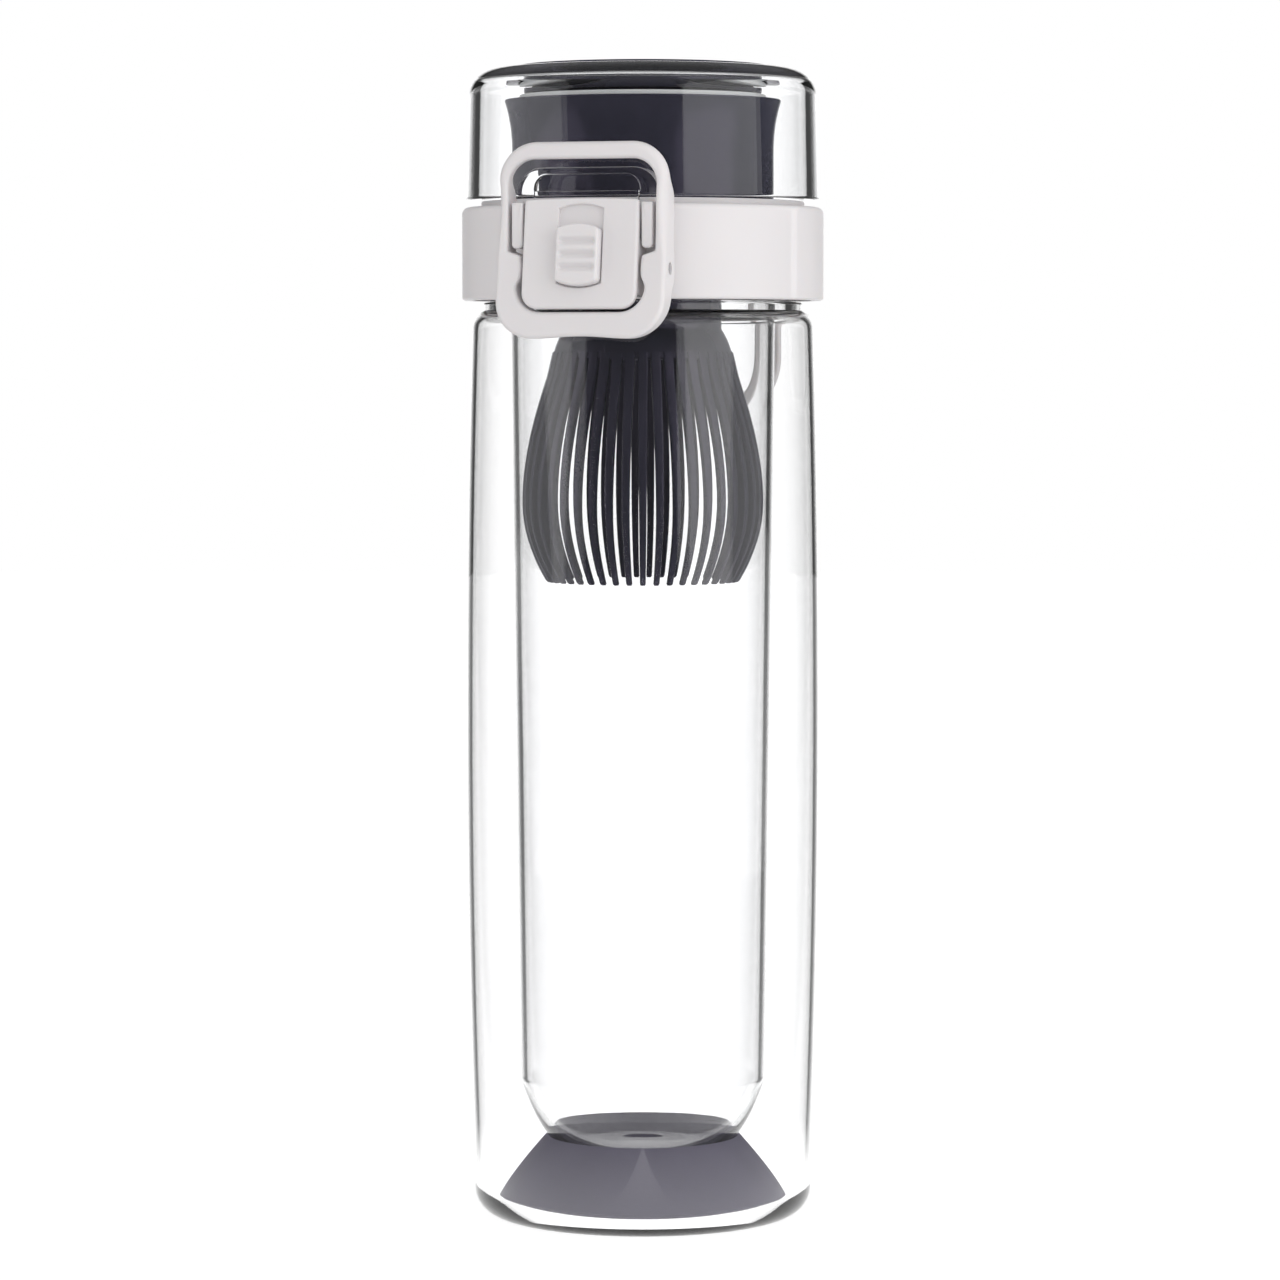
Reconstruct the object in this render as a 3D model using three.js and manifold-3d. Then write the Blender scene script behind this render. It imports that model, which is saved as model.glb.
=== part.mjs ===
// Double-wall tea bottle with a whisk hung from a flip-cap lid
// Millimetres, +Z up, foot on the plane z = 0, the latch faces -Y and the hinge +Y

import * as THREE from 'three';
import { mergeVertices } from 'three/addons/utils/BufferGeometryUtils.js';
import Module from 'manifold-3d';

const wasm = await Module();
wasm.setup();

// Clearances
const seatGap = 0.25; // between pieces seated on one another
const runGap = 0.45; // between pieces that move past one another
const boreGap = 0.2; // round a pin in its bore

// Outer shell
const footRadius = 34.4;
const bellyRadius = 36.1;
const shoulderRadius = 34.8;
const outerWall = 1.3;
const outerFloor = 2.3;
const footRounding = 5.5;
const shoulderRounding = 3.8;
const shoulderHeight = 184.5;
const neckRadius = 31.0;
const neckWall = 2.0;
const neckHeight = 12.7;
const beadStep = 1.3; // how far the bead under the lid stands out from the neck
const beadHeight = 1.4;

// Screw thread of the neck and the lid
const threadLead = 4.5;
const threadDepth = 1.1;
const threadClearance = 0.4;
const threadCrestWidth = 1.1;
const threadRootWidth = 1.9;
const threadSink = 0.4; // how deep a rib is rooted in its wall
const threadStart = 5.6; // rib centre above the shoulder
const neckThreadTurns = 1.25;
const lidThreadTurns = 1.0;

// Inner vessel and its cushion
const vesselNeckGap = 2.0; // between the vessel and the neck
const vesselDraft = 2.0; // how much narrower the vessel is at its foot
const vesselWall = 1.3;
const vesselFloor = 2.2;
const vesselFlange = 1.6;
const vesselFootHeight = 28;
const vesselFloorHeight = 11.0;
const bowlPower = 4.6; // roundness of the bowl bottom
const cushionSideGap = 3.8; // between the cushion's lip and the shell
const cushionLip = 1.2;
const cushionRimInset = 5.4; // rim inside the vessel's foot radius
const linerSealThickness = 1.0;
const sealWidth = 2.6;

// Lid ring
const threadRingWall = 1.5;
const threadRingRaise = 0.8; // above the collar's lower edge
const collarWall = 2.35;
const collarLift = 1.8; // above the shoulder
const collarLip = 1.5;
const collarRounding = 1.3;
const collarRingGap = 0.8; // between the collar's raised ring and the cap's wall
const collarRingRise = 1.2;
const neckSealThickness = 1.1;
const spoutFlange = 1.4;

// Spout
const spoutRadius = 26.5;
const spoutWall = 1.8;
const spoutFlare = 1.5;
const spoutFlareHeight = 10;
const spoutLip = 2.6;
const spoutFloor = 2.0;
const spoutFloorDrop = 2.9; // slope of the cup's floor towards the passage
const socketWall = 2.0;
const socketDepth = 12.0;
const socketGap = 0.4; // round the whisk's hub

// Whisk
const hubRadius = 16.0;
const hubWall = 2.4;
const hubReach = 21.9; // length of the straight hub
const hubSeatLift = 0.8; // stop inside the spout above the flange's underside
const hubSkirtReach = 6.2;
const hubSkirtFlare = 2.3;
const skirtWall = 1.6;
const whiskGap = 0.6; // between the widest ring of tines and the vessel
const tineCount = 45; // odd, so that a rear tine stands in each front gap
const tinePhase = THREE.MathUtils.degToRad(4.1);
const tineReach = 45.0;
const tineTipInset = 4.9;
const tineRootWidth = 2.1;
const tineTipWidth = 1.15;
const tineThickness = 1.3;
const tineWideShare = 0.64; // where along its length a tine stands furthest out
const oringRadius = 0.7;
const oringPlace = 7.0; // below the top of the hub

// Cap
const capStep = 0.8; // inside the collar's radius
const capLift = 1.45; // above the collar
const capHeight = 26.5;
const capDraft = 0.6;
const capWall = 2.3;
const capPlate = 2.6;
const capRounding = 5.7;
const capInnerRounding = 1.4;
const discRadius = 25.8;
const discRecess = 1.3;
const discRise = 0.6;
const stopperRadius = 24.1;
const stopperHead = 2.2;
const stopperCoreStep = 1.8;
const sealStand = 1.0; // how far the cap seal shows above the spout
const sealReach = 1.8; // how far it dips into the spout
const sealTaper = 2.0;

// Arch on the cap's front that the safety bail closes over
const archLeg = 3.7;
const archTop = 5.5; // above the cap's lower edge
const archBridge = 1.4;
const archReach = 0.6; // in front of the collar
const archRounding = 5.0;
const archInnerRounding = 2.8;

// Latch pin, lever and slide, in a frame that leans out at the bottom
const pinRadius = 1.0;
const pinStandOff = 1.8; // in front of the collar
const pinHeight = 5.8; // above the collar's lower edge
const leverTilt = THREE.MathUtils.degToRad(8);
const leverHalfWidth = 11.7;
const leverAbove = 13.4;
const leverBelow = 8.4;
const leverFace = 4.2; // front face in front of the pin
const leverThickness = 2.0;
const leverRounding = 3.2;
const leverTopRounding = 0.8;
const leverWeb = 1.6;
const leverWebBack = 1.7;
const leverWebReach = 5.5;
const lugOffset = 6.4;
const lugWidth = 2.4;
const sliderHalfWidth = 4.3;
const sliderLength = 12.1;
const sliderBottom = -4.1; // from the pin
const sliderTravel = 3.9;
const sliderProud = 2.3;
const sliderRecess = 0.8;
const sliderRibs = 4;
const sliderGroove = 0.6;
const sliderGrooveShare = 0.35;
const sliderCrown = 0.9; // rise of the slide's arched ends
const stemHalfWidth = 1.5;
const stemBottom = 0.9;
const stemLength = 2.6;
const keeperThickness = 0.6;
const keeperMargin = 0.8;

// Catch tongue of the cap behind the lever
const tongueThickness = 1.0;
const tongueDrop = 5.2;
const tongueLedge = 0.9;

// Safety bail
const bailBarTop = 3.4;
const bailBarBottom = 5.2;
const bailBarSide = 2.2;
const bailBarLower = 4.2;
const bailTopDepth = 2.6;
const bailBottomDepth = 4.4;
const bailReleaseGap = 0.6; // between the arch and the bail's top bar
const bailLockGap = 0.7; // beside the arch when the bail closes over it
const bailTopGap = 1.5; // above the arch
const bailRounding = 7.5;
const bailInnerRounding = 5.0;
const bailBossRadius = 3.5;
const bailBackAtPin = 3.2;
const bailChamfer = 0.7;
const bailBevel = 1.6; // outer front edge of the upper bars
const bailBevelShare = 0.72; // of the bar's depth

// Cheeks beside the lever
const cheekWidth = 2.25;
const cheekReach = 4.3; // in front of the collar
const cheekRounding = 0.9;

// Springs
const springWire = 0.35;
const springSides = 5;
const springSteps = 8;
const leverSpringRadius = 1.75;
const leverSpringTurns = 2.75;
const leverSpringPitch = 1.15;
const leverSpringDrop = 3.5; // below the pin
const hingeSpringTurns = 3.25;
const hingeSpringPitch = 1.2;
const hingeSpringLeg = 2.4;

// Rear hinge and carry loop
const hingePinRadius = 1.2;
const hingeStandOff = 3.6; // behind the collar
const hingeDrop = 2.1; // below the collar's top
const hingeBlockRadius = 2.1;
const hingeBlockInset = 7.8;
const hingeBlockHeight = 6.0;
const knuckleRadius = 2.7;
const knuckleEnd = 2.2; // where the knuckle leaves room for the spring
const hingeArmHeight = 4.6;
const hingeArmRounding = 2.0;
const loopHalfWidth = 20.0;
const loopBar = 2.8;
const loopDepth = 2.8;
const loopEyeRadius = 3.0;
const loopHang = 40.5; // from the pin to the loop's lowest edge
const loopRounding = 13.0;

// Smoothness of the faceted solids
const roundSides = 36;
const pinSides = 16;
const arcSteps = 4; // in a quarter circle of a turned outline
const bendSteps = 5; // in a bend of a turned outline
const curveSteps = 3; // in the curves of a flat outline, doubled for arcs
const threadSteps = 30;
const tineSteps = 6;
const bowlSteps = 7;
const oringSteps = 2; // in a quarter circle of the O-ring's section
const past = 1; // how far a cutting tool reaches past what it cuts
const weld = 1e-4; // points closer than this are one corner

// Sizes worked out from the driving dimensions
const neckBore = neckRadius - neckWall;
const rimHeight = shoulderHeight + neckHeight;
const linerSealHeight = rimHeight + seatGap;
const flangeHeight = linerSealHeight + linerSealThickness + seatGap;
const neckSealHeight = flangeHeight + vesselFlange + seatGap;
const spoutFlangeHeight = neckSealHeight + neckSealThickness + seatGap;
const spoutFlangeTop = spoutFlangeHeight + spoutFlange;
const collarLipHeight = spoutFlangeTop + seatGap;
const collarTop = collarLipHeight + collarLip;
const collarBottom = shoulderHeight + collarLift;
const neckCrest = neckRadius + threadDepth;
const ringBore = neckCrest + threadClearance;
const ringRadius = ringBore + threadRingWall;
const collarBore = ringRadius + seatGap;
const collarRadius = collarBore + collarWall;
const vesselMouthRadius = neckBore - vesselNeckGap;
const vesselFootRadius = vesselMouthRadius - vesselDraft;
const capBottom = collarTop + capLift;
const capTop = capBottom + capHeight;
const capRadius = collarRadius - capStep;
const capPlateBottom = capTop - capPlate;
const stopperHeadBottom = capPlateBottom - seatGap - stopperHead;
const spoutRim = stopperHeadBottom - seatGap - sealStand;
const pinY = -(collarRadius + pinStandOff);
const pinZ = collarBottom + pinHeight;
const hingeY = collarRadius + hingeStandOff;
const hingeZ = collarTop - hingeDrop;
const hubStop = spoutFlangeHeight + hubSeatLift;
const hubTop = hubStop - seatGap;
const hubBottom = hubTop - hubReach;
const tineTop = hubBottom - hubSkirtReach;
const archFront = -(collarRadius + archReach);
const cheekHalfWidth = leverHalfWidth + runGap + cheekWidth;
const archHalfWidth = cheekHalfWidth;
const archInnerHalf = archHalfWidth - archLeg;
const hingeHalfLength = loopHalfWidth - loopBar - runGap;

// A closed geometry as a solid with shared vertices and its faces turned out
function solid(geometry) {
  const bare = geometry.clone();
  bare.deleteAttribute('normal');
  bare.deleteAttribute('uv');
  const merged = mergeVertices(bare, weld);
  const corners = merged.index.array;
  const triangles = [];
  for (let i = 0; i < corners.length; i += 3) {
    const [a, b, c] = corners.slice(i, i + 3);
    if (a !== b && b !== c && c !== a) triangles.push([a, b, c]);
  }
  const vertProperties = new Float32Array(merged.attributes.position.array);
  const facing = (order) => {
    const triVerts = Uint32Array.from(triangles.flatMap(order));
    return new wasm.Manifold(new wasm.Mesh({ numProp: 3, vertProperties, triVerts }));
  };
  const body = facing((t) => t);
  return body.volume() > 0 ? body : facing(([a, b, c]) => [a, c, b]);
}

function geometryOf(body) {
  const { vertProperties, triVerts } = body.getMesh();
  const geometry = new THREE.BufferGeometry();
  geometry.setAttribute('position', new THREE.BufferAttribute(new Float32Array(vertProperties), 3));
  geometry.setIndex(new THREE.BufferAttribute(new Uint32Array(triVerts), 1));
  geometry.computeVertexNormals();
  return geometry;
}

function joined(...bodies) {
  return bodies.reduce((whole, body) => whole.add(body));
}

function cut(body, ...tools) {
  return tools.reduce((rest, tool) => rest.subtract(tool), body);
}

// Points along an outline: the ends of its lines, and steps along its arcs and bends
function pointsAlong(outline, stepsInQuarter) {
  const points = [];
  outline.curves.forEach((curve) => {
    let steps = bendSteps;
    if (curve.isLineCurve) steps = 1;
    if (curve.isEllipseCurve) {
      const quarters = Math.abs(curve.aEndAngle - curve.aStartAngle) / (Math.PI / 2);
      steps = Math.round(quarters * stepsInQuarter);
    }
    points.push(...curve.getPoints(steps));
  });
  return points.filter((point, i) => i === 0 || point.distanceTo(points[i - 1]) > weld);
}

// An outline of radius and height, turned about the Z axis
function turned(outline, stepsInQuarter = arcSteps) {
  const points = pointsAlong(outline, stepsInQuarter);
  const first = points[0];
  const last = points[points.length - 1];
  if (first.x > weld && first.distanceTo(last) > weld) points.push(first.clone());
  const geometry = new THREE.LatheGeometry(points, roundSides);
  return solid(geometry.rotateX(Math.PI / 2));
}

function outlineOf(...points) {
  const outline = new THREE.Path();
  points.forEach(([r, z], i) => (i ? outline.lineTo(r, z) : outline.moveTo(r, z)));
  return outline;
}

function ring(inner, outer, bottom, top) {
  return turned(outlineOf([inner, bottom], [outer, bottom], [outer, top], [inner, top]));
}

function drum(radius, bottom, top) {
  return turned(outlineOf([0, bottom], [radius, bottom], [radius, top], [0, top]));
}

// A shape drawn in x and z, between two depths along y
function slabAlongY(shape, from, to) {
  const geometry = new THREE.ExtrudeGeometry(shape, {
    depth: to - from,
    bevelEnabled: false,
    curveSegments: curveSteps,
  });
  geometry.rotateX(Math.PI / 2);
  return solid(geometry.translate(0, to, 0));
}

// A shape drawn in y and z, between two places along x
const yzFrame = new THREE.Matrix4().makeBasis(
  new THREE.Vector3(0, 1, 0),
  new THREE.Vector3(0, 0, 1),
  new THREE.Vector3(1, 0, 0),
);

function slabAlongX(shape, from, to) {
  const geometry = new THREE.ExtrudeGeometry(shape, {
    depth: to - from,
    bevelEnabled: false,
    curveSegments: curveSteps,
  });
  geometry.applyMatrix4(yzFrame);
  return solid(geometry.translate(from, 0, 0));
}

function block(x0, x1, y0, y1, z0, z1) {
  const geometry = new THREE.BoxGeometry(x1 - x0, y1 - y0, z1 - z0);
  return solid(geometry.translate((x0 + x1) / 2, (y0 + y1) / 2, (z0 + z1) / 2));
}

function rodAlongX(radius, from, to, y, z) {
  const geometry = new THREE.CylinderGeometry(radius, radius, to - from, pinSides);
  geometry.rotateZ(Math.PI / 2);
  return solid(geometry.translate((from + to) / 2, y, z));
}

// The same body on both sides of the plane x = 0
function bothSides(make) {
  return joined(make(1), make(-1));
}

// The span of a piece between two distances from the middle, on one side
function span(side, near, far) {
  return side > 0 ? [near, far] : [-far, -near];
}

// A rectangle with its own corner radius at the bottom and at the top, or square corners for none
function roundedRectangle(x0, x1, z0, z1, bottomRounding, topRounding) {
  const shape = new THREE.Shape();
  const corners = [
    [x1, z0, bottomRounding, -1, 1],
    [x1, z1, topRounding, -1, -1],
    [x0, z1, topRounding, 1, -1],
    [x0, z0, bottomRounding, 1, 1],
  ];
  corners.forEach(([x, z, r, inX, inZ], i) => {
    const from = ((i - 1) * Math.PI) / 2;
    if (r > 0) shape.absarc(x + inX * r, z + inZ * r, r, from, from + Math.PI / 2);
    else if (i === 0) shape.moveTo(x, z);
    else shape.lineTo(x, z);
  });
  return shape;
}

// Rings of points joined into a tube that has two flat ends, or that closes into a loop
function tubeThrough(rings, loop = false) {
  const sides = rings[0].length;
  const positions = rings.flat().flatMap((p) => [p.x, p.y, p.z]);
  const index = [];
  const spans = loop ? rings.length : rings.length - 1;
  for (let i = 0; i < spans; i += 1) {
    const here = i * sides;
    const next = ((i + 1) % rings.length) * sides;
    for (let j = 0; j < sides; j += 1) {
      const k = (j + 1) % sides;
      index.push(here + j, here + k, next + j, here + k, next + k, next + j);
    }
  }
  const end = (rings.length - 1) * sides;
  for (let j = 1; j < sides - 1 && !loop; j += 1) {
    index.push(0, j + 1, j);
    index.push(end, end + j, end + j + 1);
  }
  const geometry = new THREE.BufferGeometry();
  geometry.setAttribute('position', new THREE.Float32BufferAttribute(positions, 3));
  geometry.setIndex(index);
  return solid(geometry);
}

// A rib that climbs round the Z axis, from its root radius to its crest radius
function threadRib(root, crest, height, turnFrom, turns) {
  const section = [
    [root, -threadRootWidth / 2],
    [crest, -threadCrestWidth / 2],
    [crest, threadCrestWidth / 2],
    [root, threadRootWidth / 2],
  ];
  const steps = Math.round(turns * threadSteps);
  const rings = [];
  for (let i = 0; i <= steps; i += 1) {
    const turn = turnFrom + (turns * i) / steps;
    const angle = turn * 2 * Math.PI;
    const centre = height + threadLead * turn;
    rings.push(
      section.map(
        ([r, dz]) => new THREE.Vector3(r * Math.cos(angle), r * Math.sin(angle), centre + dz),
      ),
    );
  }
  return tubeThrough(rings);
}

// A wire along a list of points, with the same upright side all the way
function wire(points, upright) {
  const rings = points.map((point, i) => {
    const before = points[Math.max(i - 1, 0)];
    const after = points[Math.min(i + 1, points.length - 1)];
    const along = after.clone().sub(before).normalize();
    const across = upright.clone().cross(along).normalize();
    const up = along.clone().cross(across);
    const corners = [];
    for (let j = 0; j < springSides; j += 1) {
      const angle = (2 * Math.PI * j) / springSides;
      const corner = point.clone();
      corner.addScaledVector(across, springWire * Math.cos(angle));
      corner.addScaledVector(up, springWire * Math.sin(angle));
      corners.push(corner);
    }
    return corners;
  });
  return tubeThrough(rings);
}

// Points of a coil round a line along axis, from a centre, with its first point along start
function coil(centre, axis, start, radius, turns, pitch) {
  const side = axis.clone().cross(start);
  const count = Math.round(turns * springSteps);
  const points = [];
  for (let i = 0; i <= count; i += 1) {
    const angle = (2 * Math.PI * i) / springSteps;
    const point = centre.clone().addScaledVector(axis, (pitch * i) / springSteps);
    point.addScaledVector(start, radius * Math.cos(angle));
    point.addScaledVector(side, radius * Math.sin(angle));
    points.push(point);
  }
  return points;
}

// The least gap between points of a wire that are half a turn or more apart
function leastGap(points) {
  let least = Infinity;
  for (let i = 0; i < points.length; i += 1) {
    for (let j = i + springSteps / 2; j < points.length; j += 1) {
      least = Math.min(least, points[i].distanceTo(points[j]) - 2 * springWire);
    }
  }
  return least;
}

const white = { color: 0xe2dfdd, roughness: 0.45, metalness: 0 };
const grey = { color: 0x62606b, roughness: 0.5, metalness: 0 };
const cushionGrey = { color: 0x6d6a75, roughness: 0.7, metalness: 0 };
const clear = { color: 0xeef1f2, roughness: 0.05, metalness: 0, transparent: true, opacity: 0.3 };
const silicone = { color: 0xe8e8e6, roughness: 0.6, metalness: 0 };
const steel = { color: 0xb9bbbd, roughness: 0.3, metalness: 1 };

const bottle = new THREE.Group();

function piece(name, body, finish, parent = bottle) {
  const mesh = new THREE.Mesh(geometryOf(body), new THREE.MeshStandardMaterial(finish));
  mesh.name = name;
  parent.add(mesh);
  return mesh;
}

// Outer shell: one barrel wall from foot to neck, open at the top
function barrelControl(offset) {
  const radius = 2 * bellyRadius - (footRadius + shoulderRadius) / 2 - offset;
  return [radius, (footRounding + shoulderHeight - shoulderRounding) / 2];
}

function outerShell() {
  const footInner = footRounding - outerWall;
  const shoulderInner = shoulderRounding - outerWall;
  const footZ = outerFloor + footInner;
  const wall = outerWall;
  const shoulderZ = shoulderHeight - shoulderRounding;
  const bead = neckRadius + beadStep;
  const outline = new THREE.Path();
  outline.moveTo(0, 0);
  outline.lineTo(footRadius - footRounding, 0);
  outline.absarc(footRadius - footRounding, footRounding, footRounding, -Math.PI / 2, 0);
  outline.quadraticCurveTo(...barrelControl(0), shoulderRadius, shoulderZ);
  outline.absarc(shoulderRadius - shoulderRounding, shoulderZ, shoulderRounding, 0, Math.PI / 2);
  outline.lineTo(bead, shoulderHeight);
  outline.lineTo(bead, shoulderHeight + beadHeight);
  outline.lineTo(neckRadius, shoulderHeight + beadHeight);
  outline.lineTo(neckRadius, rimHeight);
  outline.lineTo(neckBore, rimHeight);
  outline.lineTo(neckBore, shoulderHeight - wall);
  outline.lineTo(shoulderRadius - wall - shoulderInner, shoulderHeight - wall);
  outline.absarc(
    shoulderRadius - wall - shoulderInner,
    shoulderZ,
    shoulderInner,
    Math.PI / 2,
    0,
    true,
  );
  outline.quadraticCurveTo(...barrelControl(wall), footRadius - wall, footZ);
  outline.absarc(footRadius - wall - footInner, footZ, footInner, 0, -Math.PI / 2, true);
  outline.lineTo(0, outerFloor);
  const rib = threadRib(
    neckRadius - threadSink,
    neckCrest,
    shoulderHeight + threadStart,
    0,
    neckThreadTurns,
  );
  return joined(turned(outline), rib);
}

piece('outer_shell', outerShell(), clear);

// Inner vessel: tapered wall, bowl bottom and a flange on the neck
function bowlHeight(r, radius, bottom, top) {
  return bottom + (top - bottom) * (r / radius) ** bowlPower;
}

function bowlPoints(radius, bottom, top, reach = radius) {
  const points = [];
  for (let i = 0; i <= bowlSteps; i += 1) {
    const r = reach * Math.sqrt(i / bowlSteps);
    points.push([r, bowlHeight(r, radius, bottom, top)]);
  }
  return points;
}

function innerVessel() {
  const outside = bowlPoints(vesselFootRadius, vesselFloorHeight, vesselFootHeight);
  const inside = bowlPoints(
    vesselFootRadius - vesselWall,
    vesselFloorHeight + vesselFloor,
    vesselFootHeight,
  ).reverse();
  return turned(
    outlineOf(
      ...outside,
      [vesselMouthRadius, flangeHeight],
      [neckRadius, flangeHeight],
      [neckRadius, flangeHeight + vesselFlange],
      [vesselMouthRadius - vesselWall, flangeHeight + vesselFlange],
      ...inside,
    ),
  );
}

function vesselInnerRadius(z) {
  const share = (z - vesselFootHeight) / (flangeHeight - vesselFootHeight);
  return vesselFootRadius + vesselDraft * share - vesselWall;
}

piece('inner_vessel', innerVessel(), clear);

// Base cushion: a dome with a lip, dished to take the vessel's bowl
function baseCushion() {
  const bottom = outerFloor + seatGap;
  const lip = footRadius - outerWall - cushionSideGap;
  const rim = vesselFootRadius - cushionRimInset;
  const dish = bowlPoints(
    vesselFootRadius,
    vesselFloorHeight - seatGap,
    vesselFootHeight - seatGap,
    rim,
  ).reverse();
  const [rimRadius, rimZ] = dish[0];
  const outline = new THREE.Path();
  outline.moveTo(0, bottom);
  outline.lineTo(lip - cushionLip / 2, bottom);
  outline.lineTo(lip, bottom + cushionLip / 2);
  outline.lineTo(lip, bottom + cushionLip);
  const control = [(lip + rimRadius) / 2 + cushionLip * 2, (bottom + rimZ) / 2 - cushionLip];
  outline.quadraticCurveTo(...control, rimRadius, rimZ);
  dish.slice(1).forEach(([r, z]) => outline.lineTo(r, z));
  return turned(outline);
}

piece('base_cushion', baseCushion(), cushionGrey);

// Flat rings that seal the vessel to the neck and the lid to the vessel
const sealOuter = neckRadius - seatGap;

piece(
  'liner_seal',
  ring(neckBore, neckRadius, linerSealHeight, linerSealHeight + linerSealThickness),
  silicone,
);
piece(
  'neck_seal',
  ring(sealOuter - sealWidth, sealOuter, neckSealHeight, neckSealHeight + neckSealThickness),
  silicone,
);

// Thread ring: the lid's inner thread, under the spout's flange
function threadRing() {
  const bottom = collarBottom + threadRingRaise;
  const body = ring(ringBore, ringRadius, bottom, spoutFlangeHeight - seatGap);
  const rib = threadRib(
    ringBore + threadSink,
    neckRadius + threadClearance,
    shoulderHeight + threadStart - threadLead / 2,
    neckThreadTurns - lidThreadTurns,
    lidThreadTurns,
  );
  return joined(body, rib);
}

piece('thread_ring', threadRing(), white);

// Spout: drinking cup above, flange under the collar's lip, socket for the whisk below
const socketBore = hubRadius + socketGap;
const passage = hubRadius - hubWall + socketGap;

function spout() {
  const neckTop = spoutRim - spoutFlareHeight;
  const rimRadius = spoutRadius + spoutFlare;
  const inner = spoutRadius - spoutWall;
  const floor = hubStop + spoutFloor;
  const socket = socketBore + socketWall;
  const socketBottom = hubStop - socketDepth;
  const outline = new THREE.Path();
  outline.moveTo(socketBore, socketBottom);
  outline.lineTo(socket, socketBottom);
  outline.lineTo(socket, spoutFlangeHeight);
  outline.lineTo(ringRadius, spoutFlangeHeight);
  outline.lineTo(ringRadius, spoutFlangeTop);
  outline.lineTo(spoutRadius, spoutFlangeTop);
  outline.lineTo(spoutRadius, neckTop);
  outline.quadraticCurveTo(spoutRadius, (neckTop + spoutRim) / 2, rimRadius, spoutRim);
  outline.lineTo(rimRadius - spoutLip, spoutRim);
  outline.quadraticCurveTo(inner, (neckTop + spoutRim) / 2, inner, neckTop);
  outline.lineTo(inner, floor + spoutFloorDrop);
  outline.lineTo(passage, floor);
  outline.lineTo(passage, hubStop);
  outline.lineTo(socketBore, hubStop);
  return turned(outline);
}

piece('spout', spout(), grey);

// Whisk: a hub pushed into the spout's socket, with a ring of tines
const grooveHalf = oringRadius + seatGap;
const grooveFloor = socketBore - 2 * oringRadius - seatGap - boreGap;
const oringHeight = hubTop - oringPlace;

function hub() {
  const bore = hubRadius - hubWall;
  const skirt = hubRadius + hubSkirtFlare;
  const outline = outlineOf(
    [bore, hubTop],
    [hubRadius, hubTop],
    [hubRadius, oringHeight + grooveHalf],
    [grooveFloor, oringHeight + grooveHalf],
    [grooveFloor, oringHeight - grooveHalf],
    [hubRadius, oringHeight - grooveHalf],
    [hubRadius, hubBottom],
  );
  outline.quadraticCurveTo(skirt - skirtWall / 2, hubBottom - hubSkirtReach / 3, skirt, tineTop);
  outline.lineTo(skirt - skirtWall, tineTop);
  outline.quadraticCurveTo(bore + hubSkirtFlare / 2, hubBottom - hubSkirtReach / 3, bore, hubBottom);
  return turned(outline);
}

// A tine's outer radius at a share of its length, bowed out and drawn in at the tip
function tineRadius(share) {
  const root = hubRadius + hubSkirtFlare;
  const wide = vesselInnerRadius(tineTop - tineReach * tineWideShare) - whiskGap;
  if (share < tineWideShare) {
    const climb = share / tineWideShare;
    return root + (wide - root) * Math.sin((climb * Math.PI) / 2);
  }
  const drop = (share - tineWideShare) / (1 - tineWideShare);
  return wide - tineTipInset * drop ** 2;
}

function tine(angle) {
  const rings = [];
  for (let i = 0; i <= tineSteps; i += 1) {
    const share = i / tineSteps;
    const outer = tineRadius(share);
    const inner = outer - tineThickness;
    const half = (tineRootWidth + (tineTipWidth - tineRootWidth) * share) / 2;
    const rise = i === 0 ? skirtWall : 0;
    const z = tineTop - tineReach * share + rise;
    const corners = [[inner, -half], [outer, -half], [outer, half], [inner, half]];
    rings.push(corners.map(([r, across]) => new THREE.Vector3(r, across, z)));
  }
  const turn = new THREE.Matrix4().makeRotationZ(angle);
  return tubeThrough(rings.map((corners) => corners.map((p) => p.applyMatrix4(turn))));
}

function whisk() {
  const tines = [];
  for (let i = 0; i < tineCount; i += 1) tines.push(tine(tinePhase + (2 * Math.PI * i) / tineCount));
  return joined(hub(), ...tines);
}

piece('whisk', whisk(), grey);

// O-ring in the hub's groove
function whiskOring() {
  const outline = new THREE.Path();
  const centre = socketBore - boreGap / 2 - oringRadius;
  outline.absarc(centre, oringHeight, oringRadius, 0, 2 * Math.PI);
  return turned(outline, oringSteps);
}

piece('whisk_oring', whiskOring(), silicone);

// Collar: the white lid ring with the latch lugs, cheeks and hinge blocks, which start at the
// middle and are trimmed by the bores
function latchLug(side) {
  const nose = leverFace - leverThickness - seatGap;
  const shape = new THREE.Shape();
  shape.moveTo(0, pinZ - nose);
  shape.lineTo(pinY, pinZ - nose);
  shape.absarc(pinY, pinZ, nose, 1.5 * Math.PI, Math.PI / 2, true);
  shape.lineTo(0, pinZ + nose);
  return slabAlongX(shape, ...span(side, lugOffset, lugOffset + lugWidth));
}

function cheek(side) {
  const [x0, x1] = span(side, leverHalfWidth + runGap, cheekHalfWidth);
  const bottom = pinZ + bailBossRadius + runGap;
  const shape = roundedRectangle(x0, x1, bottom, collarTop, cheekRounding, 0);
  return slabAlongY(shape, -(collarRadius + cheekReach), 0);
}

function hingeBlock(side) {
  const bottom = collarTop - hingeBlockHeight;
  const shape = new THREE.Shape();
  shape.moveTo(0, bottom);
  shape.lineTo(hingeY, hingeZ - hingeBlockRadius);
  shape.absarc(hingeY, hingeZ, hingeBlockRadius, -Math.PI / 2, Math.PI / 2);
  shape.lineTo(0, collarTop);
  return slabAlongX(shape, ...span(side, hingeBlockInset, hingeHalfLength));
}

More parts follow.
